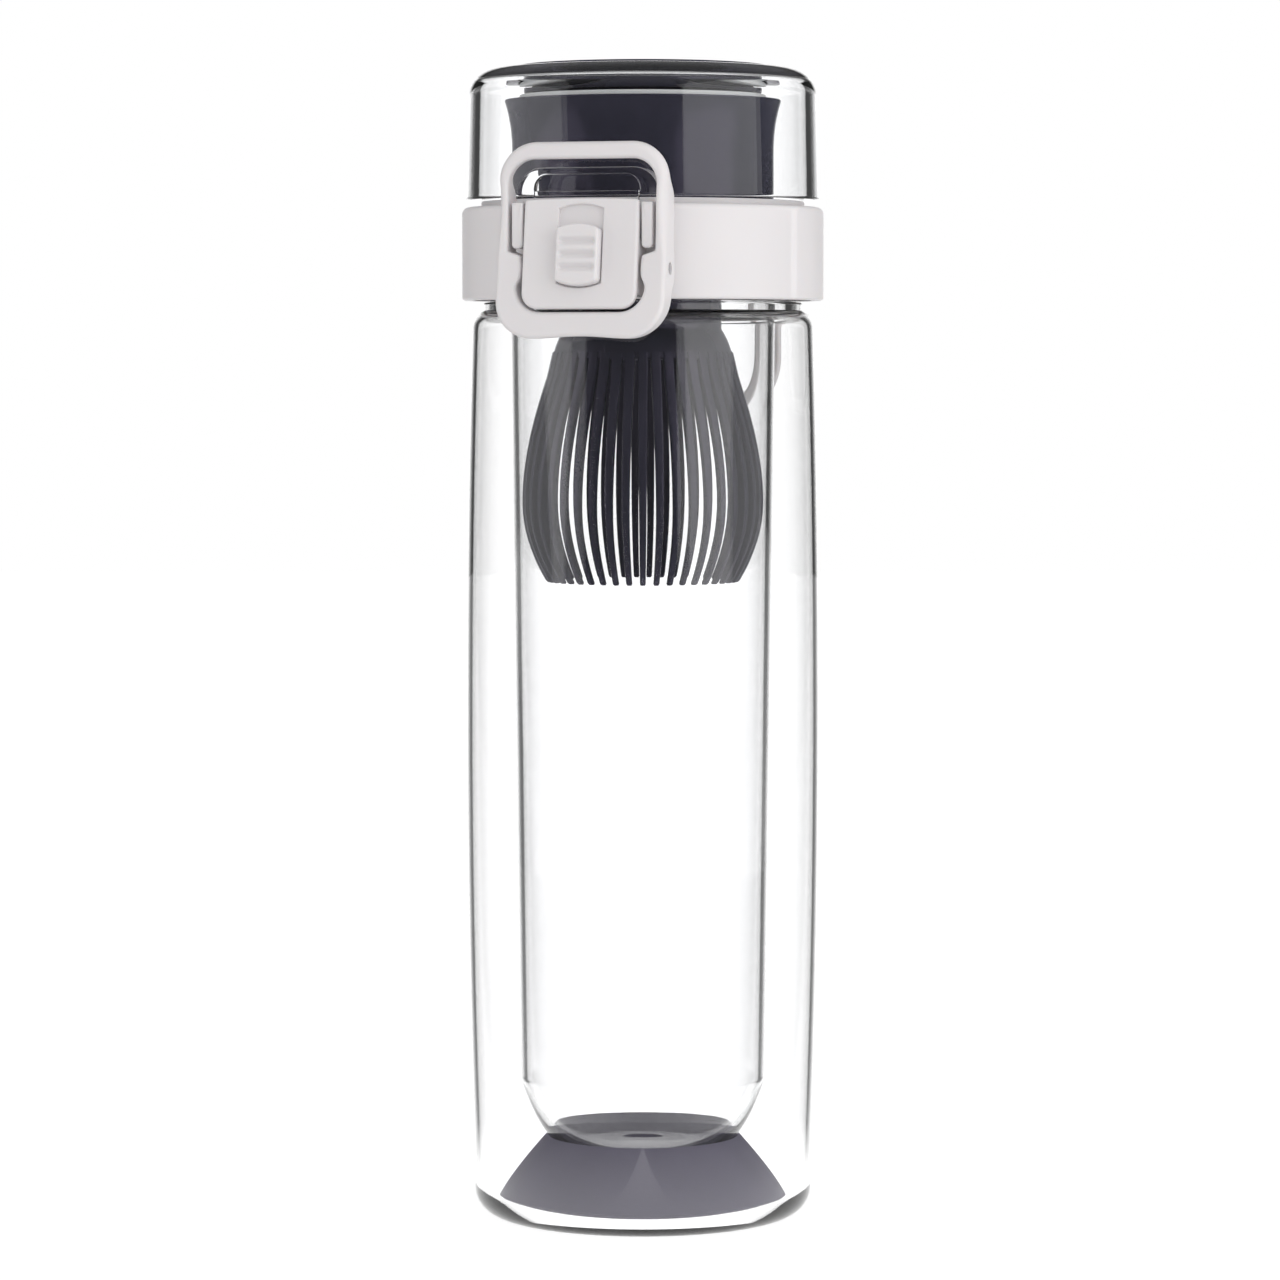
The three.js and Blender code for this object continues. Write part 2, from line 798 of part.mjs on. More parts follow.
function collar() {
  const raisedRing = capRadius - capWall - collarRingGap;
  const outline = new THREE.Path();
  outline.moveTo(0, collarBottom);
  outline.lineTo(collarRadius - collarRounding / 2, collarBottom);
  outline.lineTo(collarRadius, collarBottom + collarRounding / 2);
  outline.lineTo(collarRadius, collarTop - collarRounding);
  outline.absarc(
    collarRadius - collarRounding,
    collarTop - collarRounding,
    collarRounding,
    0,
    Math.PI / 2,
  );
  outline.lineTo(raisedRing, collarTop);
  outline.lineTo(raisedRing, collarTop + collarRingRise);
  outline.lineTo(0, collarTop + collarRingRise);
  const outside = joined(
    turned(outline),
    bothSides(latchLug),
    bothSides(cheek),
    bothSides(hingeBlock),
  );
  return cut(
    outside,
    drum(collarBore, collarBottom - past, collarLipHeight),
    drum(spoutRadius + seatGap, collarBottom, collarTop + collarRingRise + past),
    rodAlongX(pinRadius + boreGap, -cheekHalfWidth, cheekHalfWidth, pinY, pinZ),
    rodAlongX(hingePinRadius + boreGap, -loopHalfWidth, loopHalfWidth, hingeY, hingeZ),
  );
}

piece('collar', collar(), white);

// Pins of the latch and of the hinge
const latchPinHalf = archHalfWidth + bailLockGap + bailBarSide - seatGap;

piece('latch_pin', rodAlongX(pinRadius, -latchPinHalf, latchPinHalf, pinY, pinZ), steel);
piece(
  'hinge_pin',
  rodAlongX(hingePinRadius, -loopHalfWidth + seatGap, loopHalfWidth - seatGap, hingeY, hingeZ),
  steel,
);

// Hinge spring: coils beside the cap's knuckle, with a leg on the cap's side and on the collar's
function hingeSpring() {
  const radius = hingePinRadius + springWire + runGap;
  const along = new THREE.Vector3(1, 0, 0);
  const back = new THREE.Vector3(0, 1, 0);
  const centre = new THREE.Vector3(knuckleEnd + runGap + springWire, hingeY, hingeZ);
  const points = coil(centre, along, back, radius, hingeSpringTurns, hingeSpringPitch);
  const first = points[0];
  const last = points[points.length - 1];
  const before = points[points.length - 2];
  const out = last.clone().sub(before).normalize();
  points.push(last.clone().addScaledVector(out, hingeSpringLeg));
  points.unshift(first.clone().add(new THREE.Vector3(0, 0, -hingeSpringLeg)));
  console.log('hinge spring least gap', leastGap(points.slice(1, -1)).toFixed(2), 'mm');
  return wire(points, along);
}

piece('hinge_spring', hingeSpring(), steel);

// Cap: clear shell with the front arch, the catch tongue and the rear hinge arm
function capOutside() {
  const outline = new THREE.Path();
  const top = capRadius - capDraft;
  outline.moveTo(0, capBottom);
  outline.lineTo(capRadius, capBottom);
  outline.lineTo(top, capTop - capRounding);
  outline.absarc(top - capRounding, capTop - capRounding, capRounding, 0, Math.PI / 2);
  outline.lineTo(0, capTop);
  return turned(outline);
}

function capInside() {
  const outline = new THREE.Path();
  const rounding = capInnerRounding;
  const top = capRadius - capDraft - capWall;
  outline.moveTo(0, capBottom - past);
  outline.lineTo(capRadius - capWall, capBottom - past);
  outline.lineTo(top, capPlateBottom - rounding);
  outline.absarc(top - rounding, capPlateBottom - rounding, rounding, 0, Math.PI / 2);
  outline.lineTo(0, capPlateBottom);
  return turned(outline);
}

function arch() {
  const top = capBottom + archTop;
  const shape = roundedRectangle(
    -archHalfWidth,
    archHalfWidth,
    capBottom,
    top,
    0,
    archRounding,
  );
  const gap = roundedRectangle(
    -archInnerHalf,
    archInnerHalf,
    capBottom + tongueLedge,
    top - archBridge,
    0,
    archInnerRounding,
  );
  const body = slabAlongY(shape, archFront, 0);
  return cut(body, slabAlongY(gap, archFront - past, -capRadius));
}

function catchTongue() {
  const half = archInnerHalf;
  const back = -(collarRadius + runGap);
  const front = back - tongueThickness;
  const top = capBottom + tongueLedge;
  return joined(
    block(-half, half, front, 0, capBottom, top),
    block(-half, half, front, back, capBottom - tongueDrop, top),
  );
}

function hingeArm() {
  const half = hingeBlockInset - runGap;
  const back = hingeY + knuckleRadius;
  const top = capBottom + hingeArmHeight;
  const shape = new THREE.Shape();
  shape.moveTo(0, capBottom);
  shape.lineTo(back, capBottom);
  shape.lineTo(back, top - hingeArmRounding);
  shape.absarc(back - hingeArmRounding, top - hingeArmRounding, hingeArmRounding, 0, Math.PI / 2);
  shape.lineTo(0, top);
  const neck = block(
    -half,
    knuckleEnd,
    hingeY - knuckleRadius / 2,
    back,
    hingeZ,
    capBottom + hingeArmRounding,
  );
  const knuckle = rodAlongX(knuckleRadius, -half, knuckleEnd, hingeY, hingeZ);
  return cut(
    joined(slabAlongX(shape, -half, half), neck, knuckle),
    rodAlongX(hingePinRadius + boreGap, -loopHalfWidth, loopHalfWidth, hingeY, hingeZ),
  );
}

function capShell() {
  const outside = joined(capOutside(), arch(), catchTongue(), hingeArm());
  return cut(
    outside,
    capInside(),
    drum(discRadius + seatGap, capTop - discRecess, capTop + past),
  );
}

piece('cap_shell', capShell(), clear);
piece('cap_disc', drum(discRadius, capTop - discRecess + seatGap, capTop + discRise), grey);

// Stopper and its seal
const coreRadius = stopperRadius - stopperCoreStep;

function stopper() {
  const coreBottom = spoutRim - sealReach + seatGap;
  return turned(
    outlineOf(
      [0, coreBottom],
      [coreRadius, coreBottom],
      [coreRadius, stopperHeadBottom],
      [stopperRadius, stopperHeadBottom],
      [stopperRadius, capPlateBottom - seatGap],
      [0, capPlateBottom - seatGap],
    ),
  );
}

function capSeal() {
  const inner = coreRadius + seatGap;
  const mouth = spoutRadius + spoutFlare - spoutLip - runGap;
  const top = spoutRim + sealStand;
  return turned(
    outlineOf(
      [inner, spoutRim - sealReach],
      [mouth - sealTaper, spoutRim - sealReach],
      [mouth, spoutRim],
      [mouth, top],
      [inner, top],
    ),
  );
}

piece('stopper', stopper(), grey);
piece('cap_seal', capSeal(), silicone);

// Latch frame: its origin is on the latch pin and it leans out at the bottom
const latchFrame = new THREE.Group();
latchFrame.position.set(0, pinY, pinZ);
latchFrame.rotation.x = -leverTilt;
bottle.add(latchFrame);

const recessHalf = sliderHalfWidth + seatGap;
const sliderTop = sliderBottom + sliderLength;
const stemTop = stemBottom + stemLength;

// A slide outline with straight sides and arched ends
function archedSlot(half, bottom, top) {
  const shape = new THREE.Shape();
  shape.moveTo(-half, bottom + sliderCrown);
  shape.quadraticCurveTo(0, bottom - sliderCrown, half, bottom + sliderCrown);
  shape.lineTo(half, top - sliderCrown);
  shape.quadraticCurveTo(0, top + sliderCrown, -half, top - sliderCrown);
  return shape;
}

function leverWebs(side) {
  const shape = roundedRectangle(
    -(leverFace - leverThickness / 2),
    leverWebBack,
    -leverWebReach,
    leverWebReach,
    leverWebBack / 2,
    leverWebBack / 2,
  );
  return slabAlongX(shape, ...span(side, leverHalfWidth - leverWeb, leverHalfWidth));
}

function latchLever() {
  const plate = slabAlongY(
    roundedRectangle(
      -leverHalfWidth,
      leverHalfWidth,
      -leverBelow,
      leverAbove,
      leverRounding,
      leverTopRounding,
    ),
    -leverFace,
    -leverFace + leverThickness,
  );
  const recess = archedSlot(recessHalf, sliderBottom - seatGap, sliderTop + sliderTravel + seatGap);
  const floor = -leverFace + sliderRecess;
  return cut(
    joined(plate, bothSides(leverWebs)),
    slabAlongY(recess, -leverFace - past, floor),
    block(
      -stemHalfWidth - seatGap,
      stemHalfWidth + seatGap,
      -leverFace,
      -leverFace + leverThickness + past,
      stemBottom - seatGap,
      stemTop + sliderTravel + seatGap,
    ),
    rodAlongX(pinRadius + boreGap, -leverHalfWidth - past, leverHalfWidth + past, 0, 0),
  );
}

piece('latch_lever', latchLever(), white, latchFrame);

// Lock slide: ribbed thumb pad with a stem through the lever
const keeperFront = -leverFace + leverThickness + seatGap;

function lockSlider() {
  const face = -leverFace - sliderProud;
  const back = -leverFace + sliderRecess - seatGap;
  const pad = slabAlongY(archedSlot(sliderHalfWidth, sliderBottom, sliderTop), face, back);
  const pitch = (sliderLength - 2 * sliderCrown) / sliderRibs;
  const half = (pitch * sliderGrooveShare) / 2;
  const grooves = [];
  for (let i = 1; i < sliderRibs; i += 1) {
    const z = sliderBottom + sliderCrown + pitch * i;
    const reach = sliderHalfWidth + past;
    grooves.push(block(-reach, reach, face - past, face + sliderGroove, z - half, z + half));
  }
  const stem = block(
    -stemHalfWidth,
    stemHalfWidth,
    back - seatGap,
    keeperFront + keeperThickness,
    stemBottom,
    stemTop,
  );
  return cut(joined(pad, stem), ...grooves);
}

function sliderKeeper() {
  const half = stemHalfWidth + keeperMargin;
  const plate = block(
    -half,
    half,
    keeperFront,
    keeperFront + keeperThickness,
    stemBottom - keeperMargin,
    stemTop + keeperMargin,
  );
  const hole = block(
    -stemHalfWidth - seatGap,
    stemHalfWidth + seatGap,
    keeperFront - past,
    keeperFront + keeperThickness + past,
    stemBottom - seatGap,
    stemTop + seatGap,
  );
  return cut(plate, hole);
}

piece('lock_slider', lockSlider(), white, latchFrame);
piece('slider_keeper', sliderKeeper(), grey, latchFrame);

// Lever spring between the collar and the back of the lever
function leverSpring() {
  const along = new THREE.Vector3(0, -1, 0);
  const up = new THREE.Vector3(0, 0, 1);
  const start = new THREE.Vector3(0, -collarRadius - seatGap - springWire, pinZ - leverSpringDrop);
  const points = coil(start, along, up, leverSpringRadius, leverSpringTurns, leverSpringPitch);
  console.log('lever spring least gap', leastGap(points).toFixed(2), 'mm');
  return wire(points, along);
}

piece('lever_spring', leverSpring(), steel);

// Safety bail: a rounded-square loop that rocks on the latch pin and closes over the arch
const leverBottomZ = pinZ - leverBelow * Math.cos(leverTilt) + leverFace * Math.sin(leverTilt);
const leverBottomY = pinY - leverFace * Math.cos(leverTilt) - leverBelow * Math.sin(leverTilt);
const bailInnerHalf = archHalfWidth + bailLockGap;
const bailHalf = bailInnerHalf + bailBarSide;
const bailInnerTop = capBottom + archTop + bailTopGap;
const bailTop = bailInnerTop + bailBarTop;
const bailInnerBottom = leverBottomZ - runGap - seatGap;
const bailBottom = bailInnerBottom - bailBarBottom;

// Straight lines of a value up the bail: bottom to pin, level to a height, then on to the top
function alongBail(z, atBottom, atPin, atTop, levelTo, topFrom) {
  const { clamp, lerp } = THREE.MathUtils;
  if (z < pinZ) return lerp(atPin, atBottom, (pinZ - z) / (pinZ - bailBottom));
  return lerp(atPin, atTop, clamp((z - levelTo) / (topFrom - levelTo), 0, 1));
}

// Points round the bail's outer or inner edge, from the lower right corner on
function bailEdge(lowerHalf, upperHalf, bottom, top, rounding) {
  const r = rounding;
  const step = pinZ + bailBossRadius / 2;
  const edge = new THREE.Path();
  edge.absarc(lowerHalf - r, bottom + r, r, -Math.PI / 2, 0);
  edge.lineTo(lowerHalf, pinZ);
  edge.lineTo(upperHalf, step);
  edge.absarc(upperHalf - r, top - r, r, 0, Math.PI / 2);
  edge.absarc(-upperHalf + r, top - r, r, Math.PI / 2, Math.PI);
  edge.lineTo(-upperHalf, step);
  edge.lineTo(-lowerHalf, pinZ);
  edge.absarc(-lowerHalf + r, bottom + r, r, Math.PI, 1.5 * Math.PI);
  return edge.getPoints(curveSteps);
}

function bailFrame() {
  const lowerHalf = bailHalf - bailBarLower;
  const outer = bailEdge(bailHalf, bailHalf, bailBottom, bailTop, bailRounding);
  const inner = bailEdge(lowerHalf, bailInnerHalf, bailInnerBottom, bailInnerTop, bailInnerRounding);
  const topBack = archFront - bailReleaseGap;
  const topFront = topBack - bailTopDepth;
  const pinFront = pinY - bailBossRadius;
  const pinBack = pinY + bailBackAtPin;
  const bottomFront = leverBottomY - seatGap;
  const bottomBack = bottomFront + bailBottomDepth;
  const archCorner = capBottom + archTop - archRounding / 3;
  const c = bailChamfer;
  const frontAt = (z) => alongBail(z, bottomFront, pinFront, topFront, pinZ, bailTop);
  const backAt = (z) => alongBail(z, bottomBack, pinBack, topBack, collarTop, archCorner);
  const rings = outer.map((out, i) => {
    const into = inner[i];
    const width = out.distanceTo(into);
    const ease = c / width;
    const rise = THREE.MathUtils.smoothstep(out.y, pinZ, collarTop);
    const depth = backAt(out.y) - frontAt(out.y);
    const bevel = THREE.MathUtils.lerp(c, bailBevel, rise);
    const bevelDepth = THREE.MathUtils.lerp(c, depth * bailBevelShare, rise);
    const corner = (share, fromFront, fromBack) => {
      const at = out.clone().lerp(into, share);
      const y = fromBack === null ? frontAt(at.y) + fromFront : backAt(at.y) - fromBack;
      return new THREE.Vector3(at.x, y, at.y);
    };
    return [
      corner(0, bevelDepth, null),
      corner(0, null, c),
      corner(ease, null, 0),
      corner(1 - ease, null, 0),
      corner(1, null, c),
      corner(1, c, null),
      corner(1 - ease, 0, null),
      corner(bevel / width, 0, null),
    ];
  });
  return tubeThrough(rings, true);
}

function safetyBail() {
  const boss = (side) =>
    rodAlongX(bailBossRadius, ...span(side, leverHalfWidth + runGap, bailHalf), pinY, pinZ);
  return cut(
    joined(bailFrame(), bothSides(boss)),
    rodAlongX(pinRadius + boreGap, -bailHalf - past, bailHalf + past, pinY, pinZ),
  );
}

piece('safety_bail', safetyBail(), white);

// Carry loop: a U of bar hung on the hinge pin behind the bottle
function carryLoop() {
  const bottom = hingeZ - loopHang;
  const inner = loopHalfWidth - loopBar;
  const r = loopRounding;
  const q = loopRounding - loopBar;
  const shape = new THREE.Shape();
  shape.moveTo(-loopHalfWidth + r, bottom);
  shape.lineTo(loopHalfWidth - r, bottom);
  shape.absarc(loopHalfWidth - r, bottom + r, r, -Math.PI / 2, 0);
  shape.lineTo(loopHalfWidth, hingeZ);
  shape.lineTo(inner, hingeZ);
  shape.lineTo(inner, bottom + r);
  shape.absarc(inner - q, bottom + r, q, 0, -Math.PI / 2, true);
  shape.lineTo(-inner + q, bottom + loopBar);
  shape.absarc(-inner + q, bottom + r, q, -Math.PI / 2, -Math.PI, true);
  shape.lineTo(-inner, hingeZ);
  shape.lineTo(-loopHalfWidth, hingeZ);
  shape.lineTo(-loopHalfWidth, bottom + r);
  shape.absarc(-loopHalfWidth + r, bottom + r, r, Math.PI, 1.5 * Math.PI);
  const body = slabAlongY(shape, hingeY - loopDepth / 2, hingeY + loopDepth / 2);
  const eye = (side) => rodAlongX(loopEyeRadius, ...span(side, inner, loopHalfWidth), hingeY, hingeZ);
  return cut(
    joined(body, bothSides(eye)),
    rodAlongX(hingePinRadius + boreGap, -loopHalfWidth - past, loopHalfWidth + past, hingeY, hingeZ),
  );
}

piece('carry_loop', carryLoop(), white);

export default bottle;
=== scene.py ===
# %% [markdown]
# # A double-wall tea bottle
# The real bottle is a clear barrel with a slimmer clear vessel inside it. The lid screws on and
# carries a flip cap, a push latch with a safety bail, and a plastic whisk that hangs in the tea.
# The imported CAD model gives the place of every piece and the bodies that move.
# Its box is kept here, so that the finished picture can be compared with it at the end.

from math import cos, hypot, pi, radians, sin, tan

import bmesh
import bpy
from mathutils import Matrix, Vector


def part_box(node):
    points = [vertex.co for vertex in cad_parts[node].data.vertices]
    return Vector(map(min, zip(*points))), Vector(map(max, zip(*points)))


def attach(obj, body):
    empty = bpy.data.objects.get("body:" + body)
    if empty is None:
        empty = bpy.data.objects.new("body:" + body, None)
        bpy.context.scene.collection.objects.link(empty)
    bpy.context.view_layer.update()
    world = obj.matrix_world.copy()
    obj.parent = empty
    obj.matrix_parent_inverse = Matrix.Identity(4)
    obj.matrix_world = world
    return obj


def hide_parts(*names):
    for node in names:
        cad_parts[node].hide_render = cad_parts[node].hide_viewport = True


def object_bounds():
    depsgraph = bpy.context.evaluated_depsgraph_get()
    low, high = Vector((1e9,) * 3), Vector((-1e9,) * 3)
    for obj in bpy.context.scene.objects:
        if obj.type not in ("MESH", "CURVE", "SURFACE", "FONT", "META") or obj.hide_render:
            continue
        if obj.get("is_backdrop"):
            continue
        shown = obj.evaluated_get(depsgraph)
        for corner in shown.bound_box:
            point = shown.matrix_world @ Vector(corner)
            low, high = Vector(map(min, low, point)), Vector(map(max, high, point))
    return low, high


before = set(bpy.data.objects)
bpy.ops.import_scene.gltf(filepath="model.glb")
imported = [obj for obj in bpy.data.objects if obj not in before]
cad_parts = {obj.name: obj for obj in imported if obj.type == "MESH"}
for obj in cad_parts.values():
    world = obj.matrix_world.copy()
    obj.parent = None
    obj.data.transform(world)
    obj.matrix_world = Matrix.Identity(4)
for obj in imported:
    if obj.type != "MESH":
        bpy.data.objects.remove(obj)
scene = bpy.context.scene
solid_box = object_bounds()

# %% [markdown]
# ## Camera
# The photograph was taken with a long lens from about a metre away, a little right of the latch.
# The horizon lies well above the middle of the picture, so the lens stands at the height of the
# bottle's shoulder and looks slightly down. A long lens keeps the barrel's sides nearly parallel.

# %% Camera at the photograph's angle
VIEW_TURN = radians(17.0)
TO_CAMERA = Vector((sin(VIEW_TURN), -cos(VIEW_TURN), 0.0))
CAMERA_DISTANCE = 1.0
CAMERA_HEIGHT = 0.175
AIM_POINT = Vector((-0.0006, 0.0, 0.11735))
lens = bpy.data.cameras.new("long_lens")
lens.sensor_width = 36.0
lens.lens = 138.3
camera = bpy.data.objects.new("camera", lens)
camera.location = TO_CAMERA * CAMERA_DISTANCE + Vector((0.0, 0.0, CAMERA_HEIGHT))
aim = AIM_POINT - camera.location
camera.rotation_euler = aim.to_track_quat("-Z", "Y").to_euler()
scene.collection.objects.link(camera)
scene.camera = camera
scene.view_settings.view_transform = "Standard"
print("Camera", round(aim.length, 3), "m from its aim, lens", lens.lens, "mm")

# %% [markdown]
# ## Node helpers
# Every finish below is a small graph of shader nodes. One helper adds a node, sets its options and
# fills or wires its sockets, so each graph reads as a list. The others are short names for the nodes
# that come up most. All of them give back what the node puts out.


# %% Add shader nodes
def add(tree, kind, sockets=None, **options):
    made = tree.nodes.new("ShaderNode" + kind)
    for option, value in options.items():
        setattr(made, option, value)
    for socket, value in (sockets or {}).items():
        if isinstance(value, bpy.types.NodeSocket):
            tree.links.new(value, made.inputs[socket])
        else:
            made.inputs[socket].default_value = value
    return made.outputs


def calc(tree, operation, *values):
    return add(tree, "Math", dict(enumerate(values)), operation=operation)["Value"]


def vector_calc(tree, operation, *values):
    return add(tree, "VectorMath", dict(enumerate(values)), operation=operation)


def mix(tree, share, first, second):
    return add(tree, "Mix", {0: share, 2: first, 3: second})[0]


def spread(tree, value, low, high, dark, bright, **options):
    sockets = {"Value": value, "From Min": low, "From Max": high, "To Min": dark, "To Max": bright}
    return add(tree, "MapRange", sockets, **options)["Result"]


def noise(tree, spot, scale, detail, distortion=0.0):
    sockets = {"Vector": spot, "Scale": scale, "Detail": detail, "Distortion": distortion}
    return add(tree, "TexNoise", sockets)["Fac"]


def bumped(tree, height, strength, distance):
    sockets = {"Height": height, "Strength": strength, "Distance": distance}
    return add(tree, "Bump", sockets)["Normal"]


def empty_tree(owner):
    owner.use_nodes = True
    owner.node_tree.nodes.clear()
    return owner.node_tree


print("Shader helpers ready")

# %% [markdown]
# ## Bright field
# A clear bottle is photographed against a lit white wall, with a darker room to the sides. Rays that
# pass through see white, and rays that the edges mirror away see the room, which draws thin dark
# lines along the barrel. So the field is white for rays that nothing has mirrored, and the bottle
# looks clear from every side. For mirrored rays it is white within fourteen degrees of straight back
# and dark beyond twenty-four.

# %% Brightness of the field behind the bottle
FIELD_WHITE = 1.3
FIELD_DARK = 0.06
WHITE_WITHIN = cos(radians(14.0))
DARK_BEYOND = cos(radians(24.0))


def towards(tree, direction, axis):
    return vector_calc(tree, "DOT_PRODUCT", direction, axis)["Value"]


def bright_field(tree, direction):
    behind = towards(tree, direction, -TO_CAMERA)
    ends = (DARK_BEYOND, WHITE_WITHIN, FIELD_DARK, FIELD_WHITE)
    wall = spread(tree, behind, *ends, interpolation_type="SMOOTHSTEP")
    mirrored = add(tree, "LightPath")["Glossy Depth"]
    return mix(tree, mirrored, FIELD_WHITE, wall)


print("Field from", FIELD_DARK, "to", FIELD_WHITE)

# %% [markdown]
# ## World
# The camera sees plain white, and rays that are only mirrored or bent see the bright field, with a
# pale ceiling above it that the cap's shoulder picks up. Once a path has met a matt surface it takes
# a soft fill instead, which is stronger from the right, where the wide softbox stands. So the pieces
# inside the bottle are lit as softly as those outside. An image of a studio could light the scene
# too, but it can't tell these rays apart.

# %% World light for each kind of ray
CEILING = 0.45
FILL_WEAK = 0.06
FILL_STRONG = 0.92
world = bpy.data.worlds.new("bright_field")
scene.world = world
sky = empty_tree(world)
direction = add(sky, "TexCoord")["Generated"]
rays = add(sky, "LightPath")
scattered = calc(sky, "MINIMUM", rays["Diffuse Depth"], 1.0)
fill_turn = VIEW_TURN + radians(30.0)
brighter_side = Vector((sin(fill_turn), -cos(fill_turn), 0.25)).normalized()
soft_fill = spread(sky, towards(sky, direction, brighter_side), -1.0, 1.0, FILL_WEAK, FILL_STRONG)
upwards = towards(sky, direction, Vector((0.0, 0.0, 1.0)))
overhead = spread(sky, upwards, 0.3, 0.7, FIELD_DARK, CEILING)
bent = calc(sky, "MAXIMUM", bright_field(sky, direction), overhead)
lit = mix(sky, scattered, bent, soft_fill)
seen = mix(sky, rays["Is Camera Ray"], lit, 1.0)
background = add(sky, "Background", {"Color": (1.0, 1.0, 1.0, 1.0), "Strength": seen})
add(sky, "OutputWorld", {"Surface": background["Background"]})
print("World nodes:", len(sky.nodes))

# %% [markdown]
# ## Softboxes
# Two tall softboxes light the bottle, a wide one on the right and a narrow one on the left. Their
# reflections are the pale upright bands on the dark plastic, with a dark gap between them where
# nothing is reflected but the room behind the camera. An area light suits this, because it can be
# mirrored and still be hidden from the camera.

# %% Softboxes beside the camera
BOX_DISTANCE = 0.9
BOX_HEIGHT = 0.26
LIT_POINT = Vector((0.0, 0.0, 0.16))


def softbox(name, turn, width, watts):
    lamp = bpy.data.lights.new(name, "AREA")
    lamp.shape = "RECTANGLE"
    lamp.size = width
    lamp.size_y = 0.9
    lamp.energy = watts
    box = bpy.data.objects.new(name, lamp)
    spot = VIEW_TURN + radians(turn)
    box.location = (BOX_DISTANCE * sin(spot), -BOX_DISTANCE * cos(spot), BOX_HEIGHT)
    inward = LIT_POINT - box.location
    box.rotation_euler = inward.to_track_quat("-Z", "Z").to_euler()
    box.visible_camera = False
    scene.collection.objects.link(box)


softbox("softbox_right", 55.0, 0.92, 2.5)
softbox("softbox_left", -77.0, 0.48, 1.1)

# %% [markdown]
# ## Floor
# The bottle stands on a white table that runs back into the wall. To the camera the table is almost
# as white as the wall, and a share of real diffuse white keeps the bottle's soft shadow. Bent rays
# see the same field on the table as on the wall, and a painted pool of light round the bottle, an
# emission that glows there, so the dark lines of the barrel fade only near its foot.

# %% Table top, a hair under the bottle
floor_mesh = bpy.data.meshes.new("table")
across = Vector((cos(VIEW_TURN), sin(VIEW_TURN), 0.0))
drop = Vector((0.0, 0.0, -0.0002))
front = TO_CAMERA * 0.6 + drop
back = -TO_CAMERA * 3.0 + drop
corners = [front - across * 0.4, front + across * 0.4, back + across * 2, back - across * 2]
floor_mesh.from_pydata(corners, [], [(0, 1, 2, 3)])
floor = bpy.data.objects.new("table", floor_mesh)
scene.collection.objects.link(floor)
floor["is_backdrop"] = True
print("Table", [round(v, 2) for v in floor.dimensions])

# %% White of the table for each kind of ray
TABLE_SEEN = 0.92
table_white = bpy.data.materials.new("table_white")
sheet = empty_tree(table_white)
paint = add(sheet, "BsdfDiffuse", {"Color": (0.9, 0.9, 0.9, 1.0)})["BSDF"]
place = add(sheet, "NewGeometry")["Position"]
from_apex = vector_calc(sheet, "ADD", place, -TO_CAMERA * 0.12)["Vector"]
outward = vector_calc(sheet, "NORMALIZE", from_apex)["Vector"]
distance = vector_calc(sheet, "LENGTH", place)["Value"]
# Painted pool of light: for bent rays the table glows white within six centimetres of the bottle and fades
# out by thirteen.
painted_light_spot = spread(sheet, distance, 0.06, 0.13, FIELD_WHITE, FIELD_DARK)
bent = calc(sheet, "MAXIMUM", bright_field(sheet, outward), painted_light_spot)
rays = add(sheet, "LightPath")
level = mix(sheet, rays["Is Camera Ray"], bent, TABLE_SEEN)
glow = add(sheet, "Emission", {"Color": (1.0, 1.0, 1.0, 1.0), "Strength": level})
dim_paint = add(sheet, "BsdfDiffuse", {"Color": (0.22, 0.22, 0.22, 1.0)})["BSDF"]
shown = add(sheet, "AddShader", {0: glow["Emission"], 1: dim_paint})["Shader"]
scattered = calc(sheet, "MINIMUM", rays["Diffuse Depth"], 1.0)
top = add(sheet, "MixShader", {0: scattered, 1: shown, 2: paint})["Shader"]
add(sheet, "OutputMaterial", {"Surface": top})
floor_mesh.materials.append(table_white)
print("Table nodes:", len(sheet.nodes))

# %% [markdown]
# ## Moulded skin
# Every plastic piece comes out of a steel mould. The mould's spark-eroded surface leaves a grain of
# a few tenths of a millimetre, and the melt leaves slow clouds in tone and gloss where it flowed.
# White, grey and clear pieces, the cushion and the seals share this, so it is a node group.

# %% Node group of a moulded surface
MOST_NOISE = (0.3, 0.7)
CLOUDS_PER_METRE = 45.0


def new_group(name, inputs, outputs):
    tree = bpy.data.node_groups.new(name, "ShaderNodeTree")
    for side, labels in (("INPUT", inputs), ("OUTPUT", outputs)):
        for label in labels:
            kind = "NodeSocketColor" if label in ("Tone", "Color") else "NodeSocketFloat"
            tree.interface.new_socket(label, in_out=side, socket_type=kind)
    asked = tree.nodes.new("NodeGroupInput").outputs
    given = tree.nodes.new("NodeGroupOutput").inputs
    return tree, asked, given


looks = ("Tone", "Spread", "Grain", "Gloss", "Matt")
skin, asked, given = new_group("moulded_skin", looks, ("Color", "Roughness", "Height"))
spot = add(skin, "TexCoord")["Object"]
grain = noise(skin, spot, asked["Grain"], 4.0)
cloud = noise(skin, spot, CLOUDS_PER_METRE, 2.0)
darker = calc(skin, "SUBTRACT", 1.0, asked["Spread"])
paler = calc(skin, "ADD", 1.0, asked["Spread"])
shade = spread(skin, cloud, *MOST_NOISE, darker, paler)
toned = add(skin, "VectorMath", {0: asked["Tone"], "Scale": shade}, operation="SCALE")
sheen = spread(skin, grain, *MOST_NOISE, asked["Gloss"], asked["Matt"])
skin.links.new(toned["Vector"], given["Color"])
skin.links.new(sheen, given["Roughness"])
skin.links.new(grain, given["Height"])
print("moulded_skin:", len(skin.nodes), "nodes")

# %% [markdown]
# ## Handling marks
# A bottle that is carried in a bag gets hairline scratches. They are short, lie in patches and show
# only where they break up a reflection, so the group puts out a roughness and nothing else.

